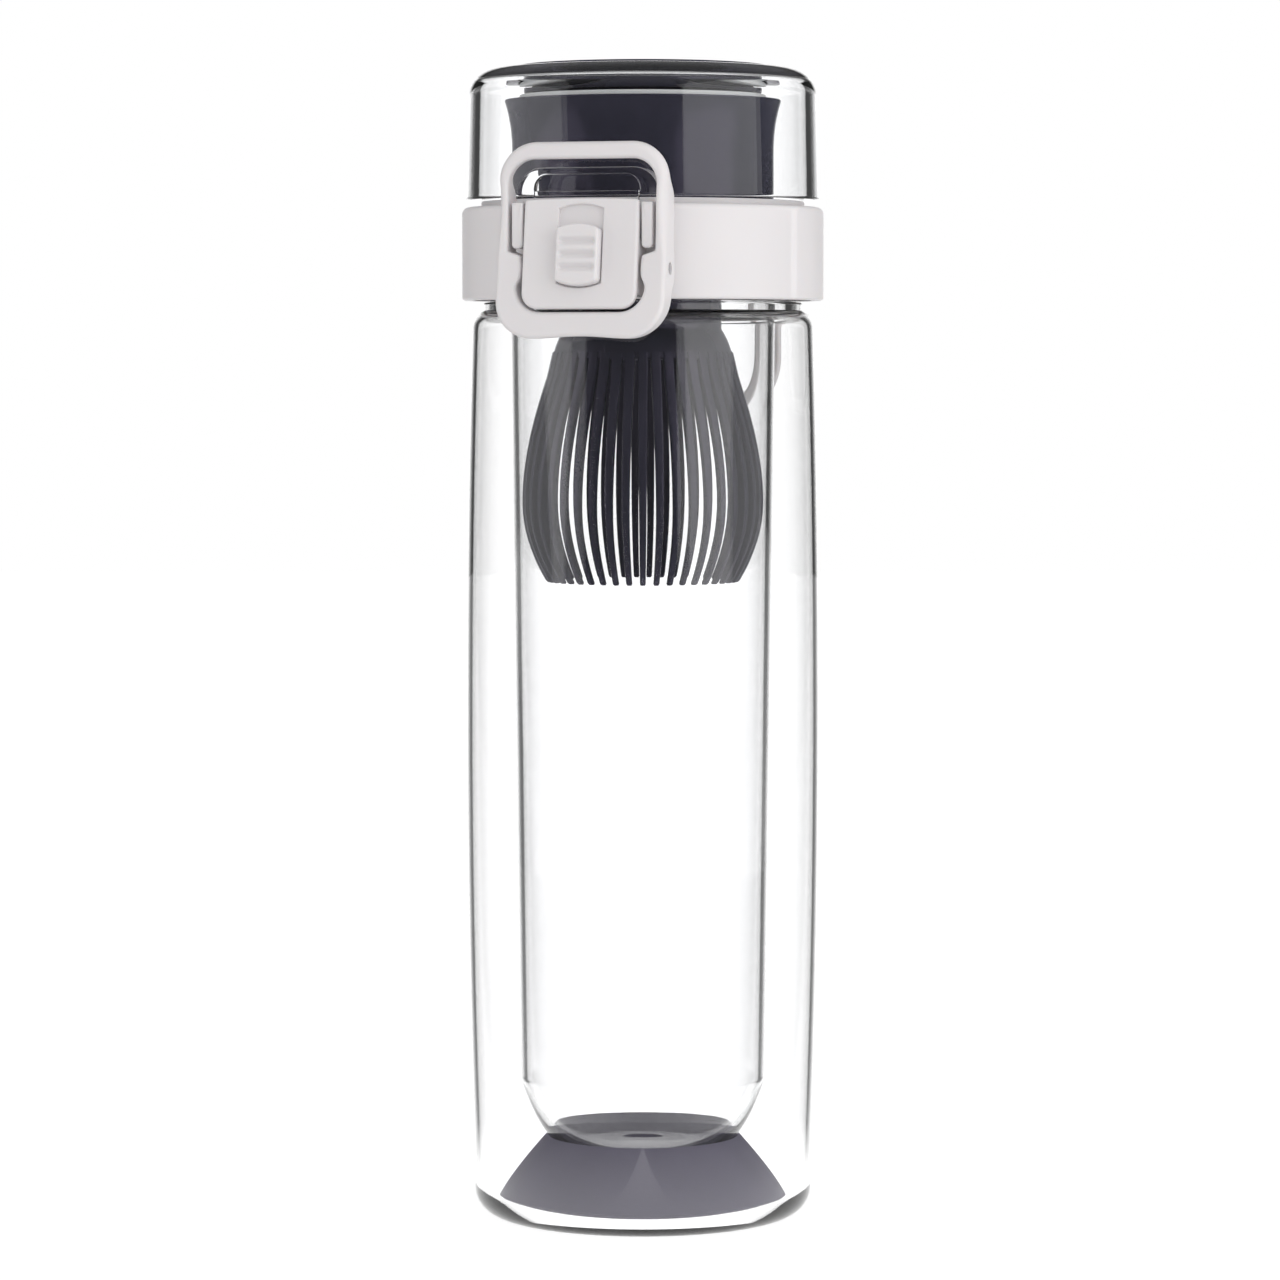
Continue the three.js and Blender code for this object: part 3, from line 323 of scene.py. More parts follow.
# %% Node group of hairline marks
HAIR_WIDTH = 0.012
PATCHES_PER_METRE = 60.0
marks, asked, given = new_group("handling_marks", ("Scale", "Rest", "Rubbed"), ("Roughness",))
spot = add(marks, "TexCoord")["Object"]
swirl = noise(marks, spot, asked["Scale"], 1.0, distortion=2.0)
from_line = calc(marks, "ABSOLUTE", calc(marks, "SUBTRACT", swirl, 0.5))
hairline = spread(marks, from_line, 0.0, HAIR_WIDTH, 1.0, 0.0)
patch = noise(marks, spot, PATCHES_PER_METRE, 3.0)
worn = spread(marks, patch, 0.52, 0.68, 0.0, 1.0)
mark = calc(marks, "MULTIPLY", hairline, worn)
dulled = spread(marks, mark, 0.0, 1.0, asked["Rest"], asked["Rubbed"])
marks.links.new(dulled, given["Roughness"])
print("handling_marks:", len(marks.nodes), "nodes")

# %% [markdown]
# ## Opaque plastics and rubber
# The collar, latch, bail and loop are an off-white plastic with a satin mould finish. The spout,
# whisk and cap disc are a dark blue-grey that is polished enough to mirror the softboxes. The
# cushion is a softer, matt grey rubber and the seals are milky silicone. They differ only in a few
# values, so one function makes all four.


# %% Opaque finishes
def new_finish(name, slot):
    finish = bpy.data.materials.new(name)
    finish["slot"] = slot
    return finish, empty_tree(finish)


def moulded(name, slot, look, relief, extra):
    finish, tree = new_finish(name, slot)
    cast = add(tree, "Group", look, node_tree=skin)
    wear = {"Scale": 160.0, "Rest": look["Gloss"], "Rubbed": look["Matt"] + 0.08}
    rubbed = add(tree, "Group", wear, node_tree=marks)
    rough = calc(tree, "MAXIMUM", cast["Roughness"], rubbed["Roughness"])
    bump = bumped(tree, cast["Height"], relief, 0.0001)
    sockets = {"Base Color": cast["Color"], "Roughness": rough, "Normal": bump}
    shader = add(tree, "BsdfPrincipled", sockets | extra)
    add(tree, "OutputMaterial", {"Surface": shader["BSDF"]})
    return finish


def skin_look(tone, clouds, grain, gloss, matt):
    return {"Tone": (*tone, 1.0), "Spread": clouds, "Grain": grain, "Gloss": gloss, "Matt": matt}


def cloudy(weight, radius, scale):
    return {"Subsurface Weight": weight, "Subsurface Radius": radius, "Subsurface Scale": scale}


look = skin_look((0.80, 0.772, 0.78), clouds=0.012, grain=2600.0, gloss=0.36, matt=0.46)
white = moulded("satin_white", "white_plastic", look, 0.12, cloudy(0.12, (1.0, 0.7, 0.5), 0.0015))
look = skin_look((0.0235, 0.0235, 0.036), clouds=0.08, grain=1800.0, gloss=0.17, matt=0.25)
grey = moulded("polished_grey", "grey_plastic", look, 0.06, {"Specular Tint": (0.8, 0.7, 1.0, 1.0)})
look = skin_look((0.125, 0.116, 0.164), clouds=0.05, grain=1500.0, gloss=0.5, matt=0.62)
rubber = moulded("cushion_rubber", "cushion_grey", look, 0.2, {"Specular IOR Level": 0.2})
look = skin_look((0.74, 0.75, 0.75), clouds=0.02, grain=1700.0, gloss=0.4, matt=0.55)
milky = moulded("milky_silicone", "silicone", look, 0.1, cloudy(0.3, (1.0, 0.9, 0.8), 0.002))
print("Opaque finishes:", white.name, grey.name, rubber.name, milky.name)

# %% [markdown]
# ## Steel
# The pins are drawn wire, cut and tumbled, and the springs are coiled from thinner wire. Drawing
# leaves fine lines that break up the mirror finish, so the roughness follows a stretched noise.

# %% Drawn steel
steel, tree = new_finish("drawn_steel", "steel")
spot = add(tree, "TexCoord")["Object"]
drawn = add(tree, "Mapping", {"Vector": spot, "Scale": (0.08, 1.0, 1.0)})["Vector"]
lines = noise(tree, drawn, 9000.0, 3.0)
tint = add(tree, "ValToRGB", {"Fac": lines})["Color"]
ramp = tint.node.color_ramp.elements
ramp[0].color = (0.50, 0.50, 0.52, 1.0)
ramp[1].color = (0.72, 0.72, 0.73, 1.0)
sockets = {
    "Base Color": tint,
    "Metallic": 1.0,
    "Roughness": spread(tree, lines, 0.0, 1.0, 0.16, 0.42),
    "Normal": bumped(tree, lines, 0.15, 0.00005),
}
shader = add(tree, "BsdfPrincipled", sockets)
add(tree, "OutputMaterial", {"Surface": shader["BSDF"]})
print("Steel:", steel.name)

# %% [markdown]
# ## Clear walls
# Barrel and cap are a clear copolyester, blown or injected, and the vessel is glass. All three have a
# refractive index close to 1.5. Shadow rays pass straight through, so that the pieces inside the
# bottle are lit.


# %% Clear finishes
def clear_finish(name, slot, tone, index, waviness):
    finish, tree = new_finish(name, slot)
    look = {"Tone": (*tone, 1.0), "Spread": 0.004, "Grain": 90.0}
    cast = add(tree, "Group", look, node_tree=skin)
    wear = {"Scale": 120.0, "Rest": 0.0, "Rubbed": 0.03}
    sockets = {
        "Base Color": cast["Color"],
        "Roughness": add(tree, "Group", wear, node_tree=marks)["Roughness"],
        "IOR": index,
        "Transmission Weight": 1.0,
        "Normal": bumped(tree, cast["Height"], waviness, 0.0002),
    }
    shader = add(tree, "BsdfPrincipled", sockets)["BSDF"]
    shadow = add(tree, "LightPath")["Is Shadow Ray"]
    light_through = add(tree, "BsdfTransparent")["BSDF"]
    both = add(tree, "MixShader", {0: shadow, 1: shader, 2: light_through})
    add(tree, "OutputMaterial", {"Surface": both["Shader"]})
    return finish


clear_body = clear_finish("clear_barrel", "clear_body", (0.995, 0.995, 0.997), 1.47, 0.02)
clear_vessel = clear_finish("clear_liner", "clear_vessel", (0.992, 0.993, 0.996), 1.47, 0.02)
clear_cap = clear_finish("clear_lid_cap", "clear_cap", (0.985, 0.987, 0.992), 1.50, 0.015)
print("Clear finishes:", clear_body.name, clear_vessel.name, clear_cap.name)

# %% [markdown]
# ## Outlines
# Moulded pieces have no sharp edges, because a mould can't be cut or emptied that way. So an outline
# is written as corners with a rounding each, and a helper turns the roundings into true arcs. Others
# draw bows, straight lines and boxes. Outlines are in millimetres, as on a drawing.


# %% Outlines with rounded corners
def shares(steps):
    return [k / steps for k in range(steps + 1)]


def eased(corners, closed=True, steps=6):
    outline = []
    for i, (u, v, ease) in enumerate(corners):
        here = Vector((u, v))
        if ease == 0 or (not closed and i in (0, len(corners) - 1)):
            outline.append(here)
            continue
        back = (Vector(corners[i - 1][:2]) - here).normalized()
        on = (Vector(corners[(i + 1) % len(corners)][:2]) - here).normalized()
        half = back.angle(on) / 2
        centre = here + (back + on).normalized() * (ease / sin(half))
        first = (here + back * (ease / tan(half)) - centre).normalized()
        last = (here + on * (ease / tan(half)) - centre).normalized()
        outline += [centre + first.slerp(last, t) * ease for t in shares(steps)]
    return outline


def line(corners, steps=6):
    return eased(corners, closed=False, steps=steps)


print("A rounded corner has", len(line([(0, 0, 0), (4, 0, 1), (4, 4, 0)])) - 2, "points")


# %% Bows, arcs, boxes and growing outlines
def bowed(start, control, end, steps=16):
    first, pull, last = map(Vector, (start, control, end))
    return [first.lerp(pull, t).lerp(pull.lerp(last, t), t) for t in shares(steps)]


def smooth(value, low, high):
    share = min(1.0, max(0.0, (value - low) / (high - low)))
    return share * share * (3 - 2 * share)


def straight(start, end, steps):
    return [Vector(start).lerp(Vector(end), t) for t in shares(steps)]


def arc(centre, radius, first, last, steps=10):
    turns = [radians(first + (last - first) * k / steps) for k in range(steps + 1)]
    return [Vector(centre) + Vector((cos(t), sin(t))) * radius for t in turns]


def boxed(left, right, bottom, top, ease, upper=None, steps=6):
    high = ease if upper is None else upper
    corners = [(left, bottom, ease), (right, bottom, ease), (right, top, high), (left, top, high)]
    return eased(corners, steps=steps)


def grown(outline, by):
    area = sum(a.cross(b) for a, b in zip(outline, outline[1:] + outline[:1]))
    side = 1 if area > 0 else -1
    moved = []
    for before, here, after in zip(outline[-1:] + outline[:-1], outline, outline[1:] + outline[:1]):
        came = (here - before).normalized()
        goes = (after - here).normalized()
        left = Vector((came.y, -came.x)) * side
        right = Vector((goes.y, -goes.x)) * side
        moved.append(here + (left + right) * (by / (1 + left.dot(right))))
    return moved


print("A rounded square has", len(boxed(0, 4, 0, 4, 1)), "points")

# %% [markdown]
# ## Turned, swept and flat forms
# Round pieces are turned about the upright axis, bars and wires are swept along a path, and levers
# and cheeks are flat forms with rounded rims. A mouth is a tool for cutting: it flares at the face,
# which leaves a rounded rim round the opening. All of them add to one mesh in millimetres, which is
# scaled to metres when the piece is done.

# %% Turned and swept forms
MM = 0.001
FINE = 192
TOUCHING = 1e-4


def circle(sides):
    return [2 * pi * k / sides for k in range(sides)]


def quarter_turn(steps):
    return [pi / 2 * k / steps for k in range(steps + 1)]


def strip(shell, low, high):
    for i in range(max(len(low), len(high))):
        lower = [low[0]] if len(low) == 1 else [low[i - 1], low[i]]
        upper = [high[0]] if len(high) == 1 else [high[i], high[i - 1]]
        shell.faces.new(lower + upper)


def row(shell, points):
    return [shell.verts.new(point) for point in points]


def turn(shell, outline, sides=160):
    rows = []
    for i, (r, z) in enumerate(outline):
        if i and hypot(r - outline[i - 1][0], z - outline[i - 1][1]) < TOUCHING:
            continue
        turns = circle(sides) if r > TOUCHING else [0.0]
        rows.append(row(shell, [(r * cos(t), r * sin(t), z) for t in turns]))
    if len(rows[0]) > 1:
        rows.append(rows[0])
    for low, high in zip(rows, rows[1:]):
        strip(shell, low, high)


def neighbours(path):
    return zip(path[:1] + path[:-1], path, path[1:] + path[-1:])


def sweep(shell, rings, loop=False):
    rows = [row(shell, ring) for ring in rings]
    for low, high in zip(rows, rows[1:]):
        strip(shell, low, high)
    if loop:
        strip(shell, rows[-1], rows[0])
    else:
        shell.faces.new(rows[0])
        shell.faces.new(rows[-1])


print("Forms: turn, sweep")


# %% Flat forms, cutting mouths and rods
def along_y(u, v, depth):
    return (u, depth, v)


def along_x(u, v, depth):
    return (depth, u, v)


def flat(shell, outline, near, far, ease, place, steps=4):
    inward = 1 if far > near else -1
    quarter = quarter_turn(steps) if ease else [pi / 2]
    rims = [(near + inward * ease * (1 - cos(t)), ease * (1 - sin(t))) for t in quarter]
    rims += [(far - inward * ease * (1 - cos(t)), ease * (1 - sin(t))) for t in reversed(quarter)]
    sweep(shell, [[place(u, v, depth) for u, v in grown(outline, -inset)] for depth, inset in rims])


def mouth(shell, outline, floor, face, ease, place, steps=4):
    outward = 1 if face > floor else -1
    quarter = quarter_turn(steps)
    rims = [(face - outward * ease * (1 - sin(t)), ease * (1 - cos(t))) for t in quarter]
    rims = [(floor, 0.0), *rims, (face + outward, ease + 0.4)]
    sweep(shell, [[place(u, v, depth) for u, v in grown(outline, more)] for depth, more in rims])


def rod(shell, radius, start, end, axle, ease=0.0, sides=48):
    corners = [(0, start, 0), (radius, start, ease), (radius, end, ease), (0, end, 0)]
    y, z = axle
    rings = []
    for r, x in line(corners)[1:-1]:
        rings.append([(x, y + r * cos(t), z + r * sin(t)) for t in circle(sides)])
    sweep(shell, rings)


print("Forms: flat, mouth, rod")

# %% [markdown]
# ## From mesh to piece
# A finished mesh gets smooth shading with crisp edges only where the form really turns. Large faces
# decide the shading at a rounded rim, so that flat faces stay flat and clear walls bend light truly.
# Each piece then takes a finish, rides on a moving body and stands for the CAD solid it follows.
# The print compares its box with that solid, in millimetres.

# %% From mesh to object
CREASE = 38


def soften(mesh, crease):
    mesh.shade_smooth()
    mesh.set_sharp_from_angle(angle=radians(crease))


def settle(shell):
    bmesh.ops.triangulate(shell, faces=[face for face in shell.faces if len(face.verts) > 4])
    bmesh.ops.recalc_face_normals(shell, faces=shell.faces)
    bmesh.ops.scale(shell, vec=(MM, MM, MM), verts=shell.verts)
    mesh = bpy.data.meshes.new("form")
    shell.to_mesh(mesh)
    shell.free()
    soften(mesh, CREASE)
    piece = bpy.data.objects.new("form", mesh)
    scene.collection.objects.link(piece)
    return piece


def form(make, *args, **options):
    shell = bmesh.new()
    make(shell, *args, **options)
    return settle(shell)


def bore(radius, half, axle):
    return form(rod, radius, -half, half, axle)


print("Creases are crisp from", CREASE, "degrees")


# %% Carving and dressing a piece
def baked(piece):
    graph = bpy.context.evaluated_depsgraph_get()
    mesh = bpy.data.meshes.new_from_object(piece.evaluated_get(graph))
    piece.modifiers.clear()
    piece.data = mesh
    return mesh


def carve(piece, join=(), take=(), crease=CREASE):
    for operation, tools in (("UNION", join), ("DIFFERENCE", take)):
        for tool in tools:
            change = piece.modifiers.new(tool.name, "BOOLEAN")
            change.operation = operation
            change.solver = "MANIFOLD"
            change.object = tool
    soften(baked(piece), crease)
    for tool in (*join, *take):
        bpy.data.objects.remove(tool)
    return piece


def dress(piece, name, finish, body, node):
    piece.modifiers.new("shading", "WEIGHTED_NORMAL").keep_sharp = True
    baked(piece)
    piece.name = name
    piece.data.name = name
    piece.data.materials.clear()
    piece.data.materials.append(finish)
    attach(piece, body)
    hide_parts(node)
    low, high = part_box(node)
    spots = [vertex.co for vertex in piece.data.vertices]
    off_low = [round((min(s[k] for s in spots) - low[k]) / MM, 2) for k in range(3)]
    off_high = [round((max(s[k] for s in spots) - high[k]) / MM, 2) for k in range(3)]
    print(name, len(piece.data.polygons), "faces, box off by", off_low, off_high)


print("Finishing: form, carve, dress")

# %% [markdown]
# ## Barrel
# The outer barrel is blown from a tube of clear plastic: a slight belly, a rounded foot, and a
# shoulder that turns into a narrow bead and the threaded neck. The wall is little over a millimetre.
# One outline runs up the outside and down the inside, so the wall is a real double surface. A
# modifier could thicken a single skin, but here the inside has curves of its own.

# %% Outer barrel with its neck thread
THREAD_LEAD = 4.5
outside = [Vector((0, 0))]
outside += arc((28.9, 5.5), 5.5, -90, 0, 14)
outside += bowed((34.4, 5.5), (37.6, 93.1), (34.8, 180.7), 40)
outside += arc((31.0, 180.7), 3.8, 0, 69, 12)
bead = [(32.3, 184.3, 0), (32.3, 185.9, 0.5), (31.0, 185.9, 0.2)]
mouth_rim = [(31.0, 197.2, 0.6), (29.0, 197.2, 0.6), (29.0, 183.2, 0.5), (31.0, 183.2, 0)]
neck = line(bead + mouth_rim)
inside = arc((31.0, 180.7), 2.5, 90, 0, 8)
inside += bowed((33.5, 180.7), (36.3, 93.1), (33.1, 6.5), 40)
inside += arc((28.9, 6.5), 4.2, 0, -90, 12)
inside.append(Vector((0, 2.3)))


def thread_rib(shell, root, crest, height, first, turns):
    rings = []
    for share in shares(round(turns * 90)):
        fade = min(1.0, 0.3 + 9 * share, 0.3 + 9 * (1 - share))
        reach = root + (crest - root) * fade
        wound = first + turns * share
        t = 2 * pi * wound
        middle = height + THREAD_LEAD * wound
        corners = [(root, -0.95, 0), (reach, -0.55, 0.3), (reach, 0.55, 0.3), (root, 0.95, 0)]
        section = eased(corners, steps=3)
        rings.append([(r * cos(t), r * sin(t), middle + dz) for r, dz in section])
    sweep(shell, rings)


barrel = form(turn, outside + neck + inside, FINE)
carve(barrel, join=[form(thread_rib, 30.6, 32.1, 190.1, 0.0, 1.25)])
dress(barrel, "barrel", clear_body, "bottle", "outer_shell")

# %% [markdown]
# ## Vessel
# The inner vessel holds the tea. It is a slim beaker with a bowl bottom, a slight draft so that it
# leaves its mould, and a flange that hangs on the neck. The bowl is flat in the middle and turns up
# steeply, which a power curve follows closely.


# %% Inner vessel
def bowl(radius, bottom, top, reach, steps=30):
    radii = [reach * share**0.6 for share in shares(steps)]
    return [Vector((r, bottom + (top - bottom) * (r / radius) ** 4.6)) for r in radii]


outline = bowl(25.0, 11.0, 28.0, 25.0)
outline += straight((25.0, 28.4), (26.98, 197.9), 60)
hanger = [(27.0, 198.7, 0), (31.0, 198.7, 0.4), (31.0, 200.3, 0.6)]
hanger += [(25.7, 200.3, 0.6), (25.69, 198.5, 0)]
outline += line(hanger)
outline += straight((25.69, 198.0), (23.71, 28.4), 60)
outline += bowl(23.7, 13.2, 28.0, 23.7)[::-1]
dress(form(turn, outline, FINE), "vessel", clear_vessel, "bottle", "inner_vessel")

# %% [markdown]
# ## Cushion and seals
# A soft grey cushion stands in the barrel's foot and takes the vessel's bowl in its dish. The dish is
# the bowl's own curve, so that the two lie together. Flat rings of silicone seal the vessel to the
# neck and the lid to the vessel. They are pressed from sheet, so their rims are nearly square.

# %% Base cushion and the flat seals
outline = line([(0, 2.55, 0), (28.9, 2.55, 0.5), (29.3, 3.75, 0.4)])
outline += bowed((29.3, 3.75), (26.85, 8.23), (19.75, 16.2), 24)
outline += line([(19.75, 16.2, 0), (19.6, 16.3, 0.05), (19.45, 16.17, 0)])
outline += bowl(25.0, 10.75, 27.75, 19.4)[::-1]
dress(form(turn, outline), "cushion", rubber, "bottle", "base_cushion")


def flat_ring(inner, outer, bottom, top, ease=0.25):
    return form(turn, boxed(inner, outer, bottom, top, ease))


below = flat_ring(29.0, 31.0, 197.45, 198.45)
dress(below, "seal_under_vessel", milky, "bottle", "liner_seal")
above = flat_ring(28.15, 30.75, 200.55, 201.65)
dress(above, "seal_under_lid", milky, "lid_riser", "neck_seal")

# %% [markdown]
# ## Thread ring
# The lid's thread is cut in a ring of its own that is pushed into the collar and never seen from
# outside. Its single rib turns once round and runs out softly at both ends, as a mould's thread does.
# It is swept with the same lead as the rib on the neck.

# %% Thread ring
thread_ring = flat_ring(32.5, 34.0, 187.1, 201.65, ease=0.3)
carve(thread_ring, join=[form(thread_rib, 32.9, 31.4, 187.85, 0.25, 1.0)])
dress(thread_ring, "lid_thread", white, "lid", "thread_ring")

# %% [markdown]
# ## Collar band
# The collar is one white moulding. Its band comes first: a turned ring with a generous rounding on
# top, where the hand grips it, and a small one below. A raised ring on top stands inside the cap's
# wall, so that the gap under the closed cap looks white and not dark.

# %% Collar band and the two axles of the lid
PIN_Y = -38.4
PIN_Z = 192.1
PIN = (PIN_Y, PIN_Z)
PIN_BORE = 1.2
HINGE_Y = 40.2
HINGE_Z = 202.95
HINGE = (HINGE_Y, HINGE_Z)
HINGE_BORE = 1.4
band = [(0, 186.3, 0), (36.6, 186.3, 0.55), (36.6, 205.05, 1.3)]
raised = [(32.7, 205.05, 0.2), (32.7, 206.25, 0.3), (0, 206.25, 0)]
collar = form(turn, line(band + raised, steps=8), FINE)
print("Collar band:", len(collar.data.polygons), "faces")

# %% [markdown]
# ## Cheeks, lugs and hinge blocks
# In front, two cheeks frame the latch and two lugs behind it hold its pin. At the back, two blocks
# hold the hinge pin. All of them are mirrored pairs, so each form is made once for either side.

# %% Forms on the collar
nose = arc(PIN, 1.95, 90, 270, 16)
lug = [Vector((-30.0, 194.05)), *nose, Vector((-30.0, 190.15))]
heel = arc(HINGE, 2.1, -90, 90, 16)
block = [Vector((30.0, 199.05)), *heel, Vector((30.0, 205.05))]
features = []
for side in (1, -1):
    cheek = boxed(side * 12.15, side * 14.4, 196.05, 205.05, 0.9, 0.35)
    features += [
        form(flat, cheek, -40.9, -30.0, 0.45, along_y),
        form(flat, lug, side * 6.4, side * 8.8, 0.3, along_x),
        form(flat, block, side * 7.8, side * 16.75, 0.4, along_x),
    ]
print("Forms on the collar:", len(features))

# %% [markdown]
# ## Bores of the collar
# The joined forms are hollowed out last: a wide bore for the thread ring, a smaller one that leaves a
# lip on top to hold the spout, and a cross bore for each pin.

# %% Bores
lip_bore = [(0, 180), (34.25, 180), (34.25, 203.55), (26.75, 203.55), (26.75, 210), (0, 210)]
bores = [form(turn, lip_bore, FINE), bore(PIN_BORE, 14.4, PIN), bore(HINGE_BORE, 20.0, HINGE)]
carve(collar, join=features, take=bores)
dress(collar, "collar_band", white, "lid", "collar")

# %% [markdown]
# ## Spout
# Under the cap is a dark drinking cup. Its wall flares to a thin rim, a flange holds it under the
# collar's lip, and a socket below takes the whisk. The tea comes up through the middle. Every part of
# it is round, so one outline turned about the axis gives all of it.

# %% Spout
socket = [(16.4, 191.2, 0), (16.4, 190.7, 0.3), (18.4, 190.7, 0.4), (18.4, 201.9, 0.5)]
flange = [(34.0, 201.9, 0.3), (34.0, 203.3, 0.3), (26.5, 203.3, 0.3), (26.5, 204.0, 0)]
lip = [(27.9, 226.2, 0), (28.0, 226.6, 0.25), (25.4, 226.6, 0.4), (25.3, 226.1, 0)]
cup = [(24.7, 216.0, 0), (24.7, 207.6, 1.2), (14.0, 204.7, 0.4), (14.0, 202.7, 0.2)]
stop = [(16.4, 202.7, 0.2), (16.4, 191.2, 0)]
outline = line(socket + flange)
outline += straight((26.5, 205.0), (26.5, 216.0), 4)
outline += bowed((26.5, 216.6), (26.5, 221.6), (27.93, 226.2), 14)
outline += line(lip)
outline += bowed((25.28, 226.0), (24.7, 221.6), (24.7, 216.6), 14)
outline += line(cup + stop)
dress(form(turn, outline), "drinking_spout", grey, "lid", "spout")

# %% [markdown]
# ## Tines
# The whisk is the plastic cousin of a bamboo tea whisk. Each tine is a thin bar with rounded edges
# that bows out and draws in at its tip. It is wider at the root, where it grows out of the hub, and in
# the mould thin steel blades part it from its neighbours.

# %% One tine of the whisk
TINE_TOP = 174.35
TINE_LENGTH = 45.0
TINE_THICKNESS = 1.3
ROOT_RADIUS = 18.3
BELLY_RADIUS = 24.48
BELLY_AT = 0.64
BLUNT_AT = 0.992
BLUNTED = 0.72


def tine_radius(share):
    if share < BELLY_AT:
        return ROOT_RADIUS + (BELLY_RADIUS - ROOT_RADIUS) * sin(share / BELLY_AT * pi / 2)
    return BELLY_RADIUS - 4.9 * ((share - BELLY_AT) / (1 - BELLY_AT)) ** 2


def tine(shell, turned_by, steps=26):
    outward = Vector((cos(turned_by), sin(turned_by), 0))
    sideways = Vector((-sin(turned_by), cos(turned_by), 0))
    rings = []
    for share in [*shares(steps)[:-1], BLUNT_AT, 1.0]:
        outer = tine_radius(share)
        half = 1.05 - 0.475 * share
        thick = TINE_THICKNESS
        if share == 1.0:
            outer -= 0.15
            half *= BLUNTED
            thick *= BLUNTED
        z = TINE_TOP - TINE_LENGTH * share + max(0.0, 1.6 - 20 * share)
        inner = outer - thick
        corners = [(inner, -half, 0.3), (outer, -half, 0.42), (outer, half, 0.42), (inner, half, 0.3)]
        section = eased(corners, steps=2)
        rings.append([outward * r + sideways * a + Vector((0, 0, z)) for r, a in section])
    sweep(shell, rings)


print("A tine stands out", BELLY_RADIUS, "mm and ends at", round(tine_radius(1.0), 1), "mm")

# %% [markdown]
# ## Whisk
# The hub plugs into the spout, has a groove for a ring and flares to the roots of the tines. Their
# number is odd, so that seen from any side a rear tine stands in each gap of the front row. The
# whisk is pushed in by hand, and here it is turned until a tine faces the lens, as photographed.

# %% Hub and tines
TINES = 45
FACING_LENS = radians(7.0)
top = [(13.6, 181.0, 0), (13.6, 202.45, 0.4), (16.0, 202.45, 0.5), (16.0, 196.4, 0.2)]
groove = [(14.55, 196.4, 0.2), (14.55, 194.5, 0.2), (16.0, 194.5, 0.2), (16.0, 181.0, 0)]
skirt = [(18.3, 174.9, 0), (18.35, 174.35, 0.5), (16.7, 174.35, 0.3), (16.6, 175.0, 0)]
outline = line(top + groove)
outline += bowed((16.0, 180.55), (17.5, 178.48), (18.3, 174.9), 10)
outline += line(skirt)
outline += bowed((16.6, 175.2), (14.75, 178.48), (13.6, 180.55), 10)
shell = bmesh.new()
turn(shell, outline)
for turned_by in circle(TINES):
    tine(shell, FACING_LENS + turned_by)
dress(settle(shell), "tea_whisk", grey, "lid", "whisk")

# %% [markdown]
# ## O-ring
# A silicone ring in the hub's groove holds the whisk in the spout by friction. It is a plain circle
# turned about the axis, as it comes out of its mould.

# %% O-ring on the hub
dress(form(turn, arc((15.6, 195.45), 0.7, 0, 345, 23)), "hub_ring", milky, "lid", "whisk_oring")

# %% [markdown]
# ## Cup of the cap
# The flip cap is one clear injection moulding with a thick wall. The outside has a slight draft and a
# rounded shoulder. The hollow is a second form that is taken away later. A low pad in its ceiling is
# where the stopper is welded on, so no air is left between the two.

# %% Cup of the cap and its hollow
CAP_LOW = 206.5
draft = line([(0, CAP_LOW, 0), (35.8, CAP_LOW, 0.5), (35.24, 227.3, 0)])
cap = form(turn, draft + arc((29.54, 227.3), 5.7, 0, 90, 18) + [Vector((0, 233.0))], FINE)
wall = [(0, 200.0), (33.5, 200.0), (33.5, 206.2), (33.3, 206.9), (32.9, 229.0)]
pad = [(23.8, 230.4), (23.8, 230.05), (0, 230.05)]
hollow = form(turn, wall + arc((31.5, 229.0), 1.4, 0, 90, 12) + pad, FINE)
print("Cap:", len(cap.data.polygons), "faces, hollow:", len(hollow.data.polygons))

# %% [markdown]
# ## Arch of the cap
# In front the cap carries a small arch that the bail closes over. It is a rounded slab with a window.
# Cutting the window with a flared tool leaves its rim rounded, as a mould does.

# %% Arch with its window
CATCH_HALF = 10.7
slab = boxed(-14.4, 14.4, CAP_LOW, 212.0, 0, 5.0, steps=10)
arch = form(flat, slab, -37.2, -20.0, 0.5, along_y)
window = boxed(-CATCH_HALF, CATCH_HALF, 207.3, 210.6, 0.2, 2.8, steps=8)
carve(arch, take=[form(mouth, window, -35.8, -37.2, 0.4, along_y)])
print("Arch:", len(arch.data.polygons), "faces")

# %% [markdown]
# ## Tongue and hinge arm
# Behind the latch a tongue hangs down from the cap, and the latch catches it. At the back an arm
# reaches over the collar to the hinge and ends in a knuckle on the hinge pin. They are plain forms that
# overlap each other and the cup, so that they join cleanly.

# %% Tongue, ledge, arm and knuckle
tongue = boxed(-CATCH_HALF, CATCH_HALF, 201.3, 207.4, 0.3)
ledge = boxed(-CATCH_HALF, CATCH_HALF, CAP_LOW, 207.35, 0)
arm = eased([(20.0, CAP_LOW, 0), (42.9, CAP_LOW, 0.4), (42.9, 211.1, 2.0), (20.0, 211.1, 0)])
stalk = boxed(38.9, 42.85, 202.0, 208.5, 0)
joins = [
    arch,
    form(flat, tongue, -38.05, -37.05, 0.2, along_y),
    form(flat, ledge, -37.9, -20.0, 0.0, along_y),
    form(flat, arm, -7.35, 7.35, 0.4, along_x),
    form(flat, stalk, -7.3, 2.15, 0.2, along_x),
    form(rod, 2.7, -7.35, 2.2, HINGE, 0.3),
]
print("Forms on the cap:", len(joins))

# %% [markdown]
# ## Clear cap
# The forms are joined before the cap is hollowed out, so no hidden wall is left inside the clear
# plastic. The seat of the disc is a hair tighter than the disc, as a glued joint has no air in it.

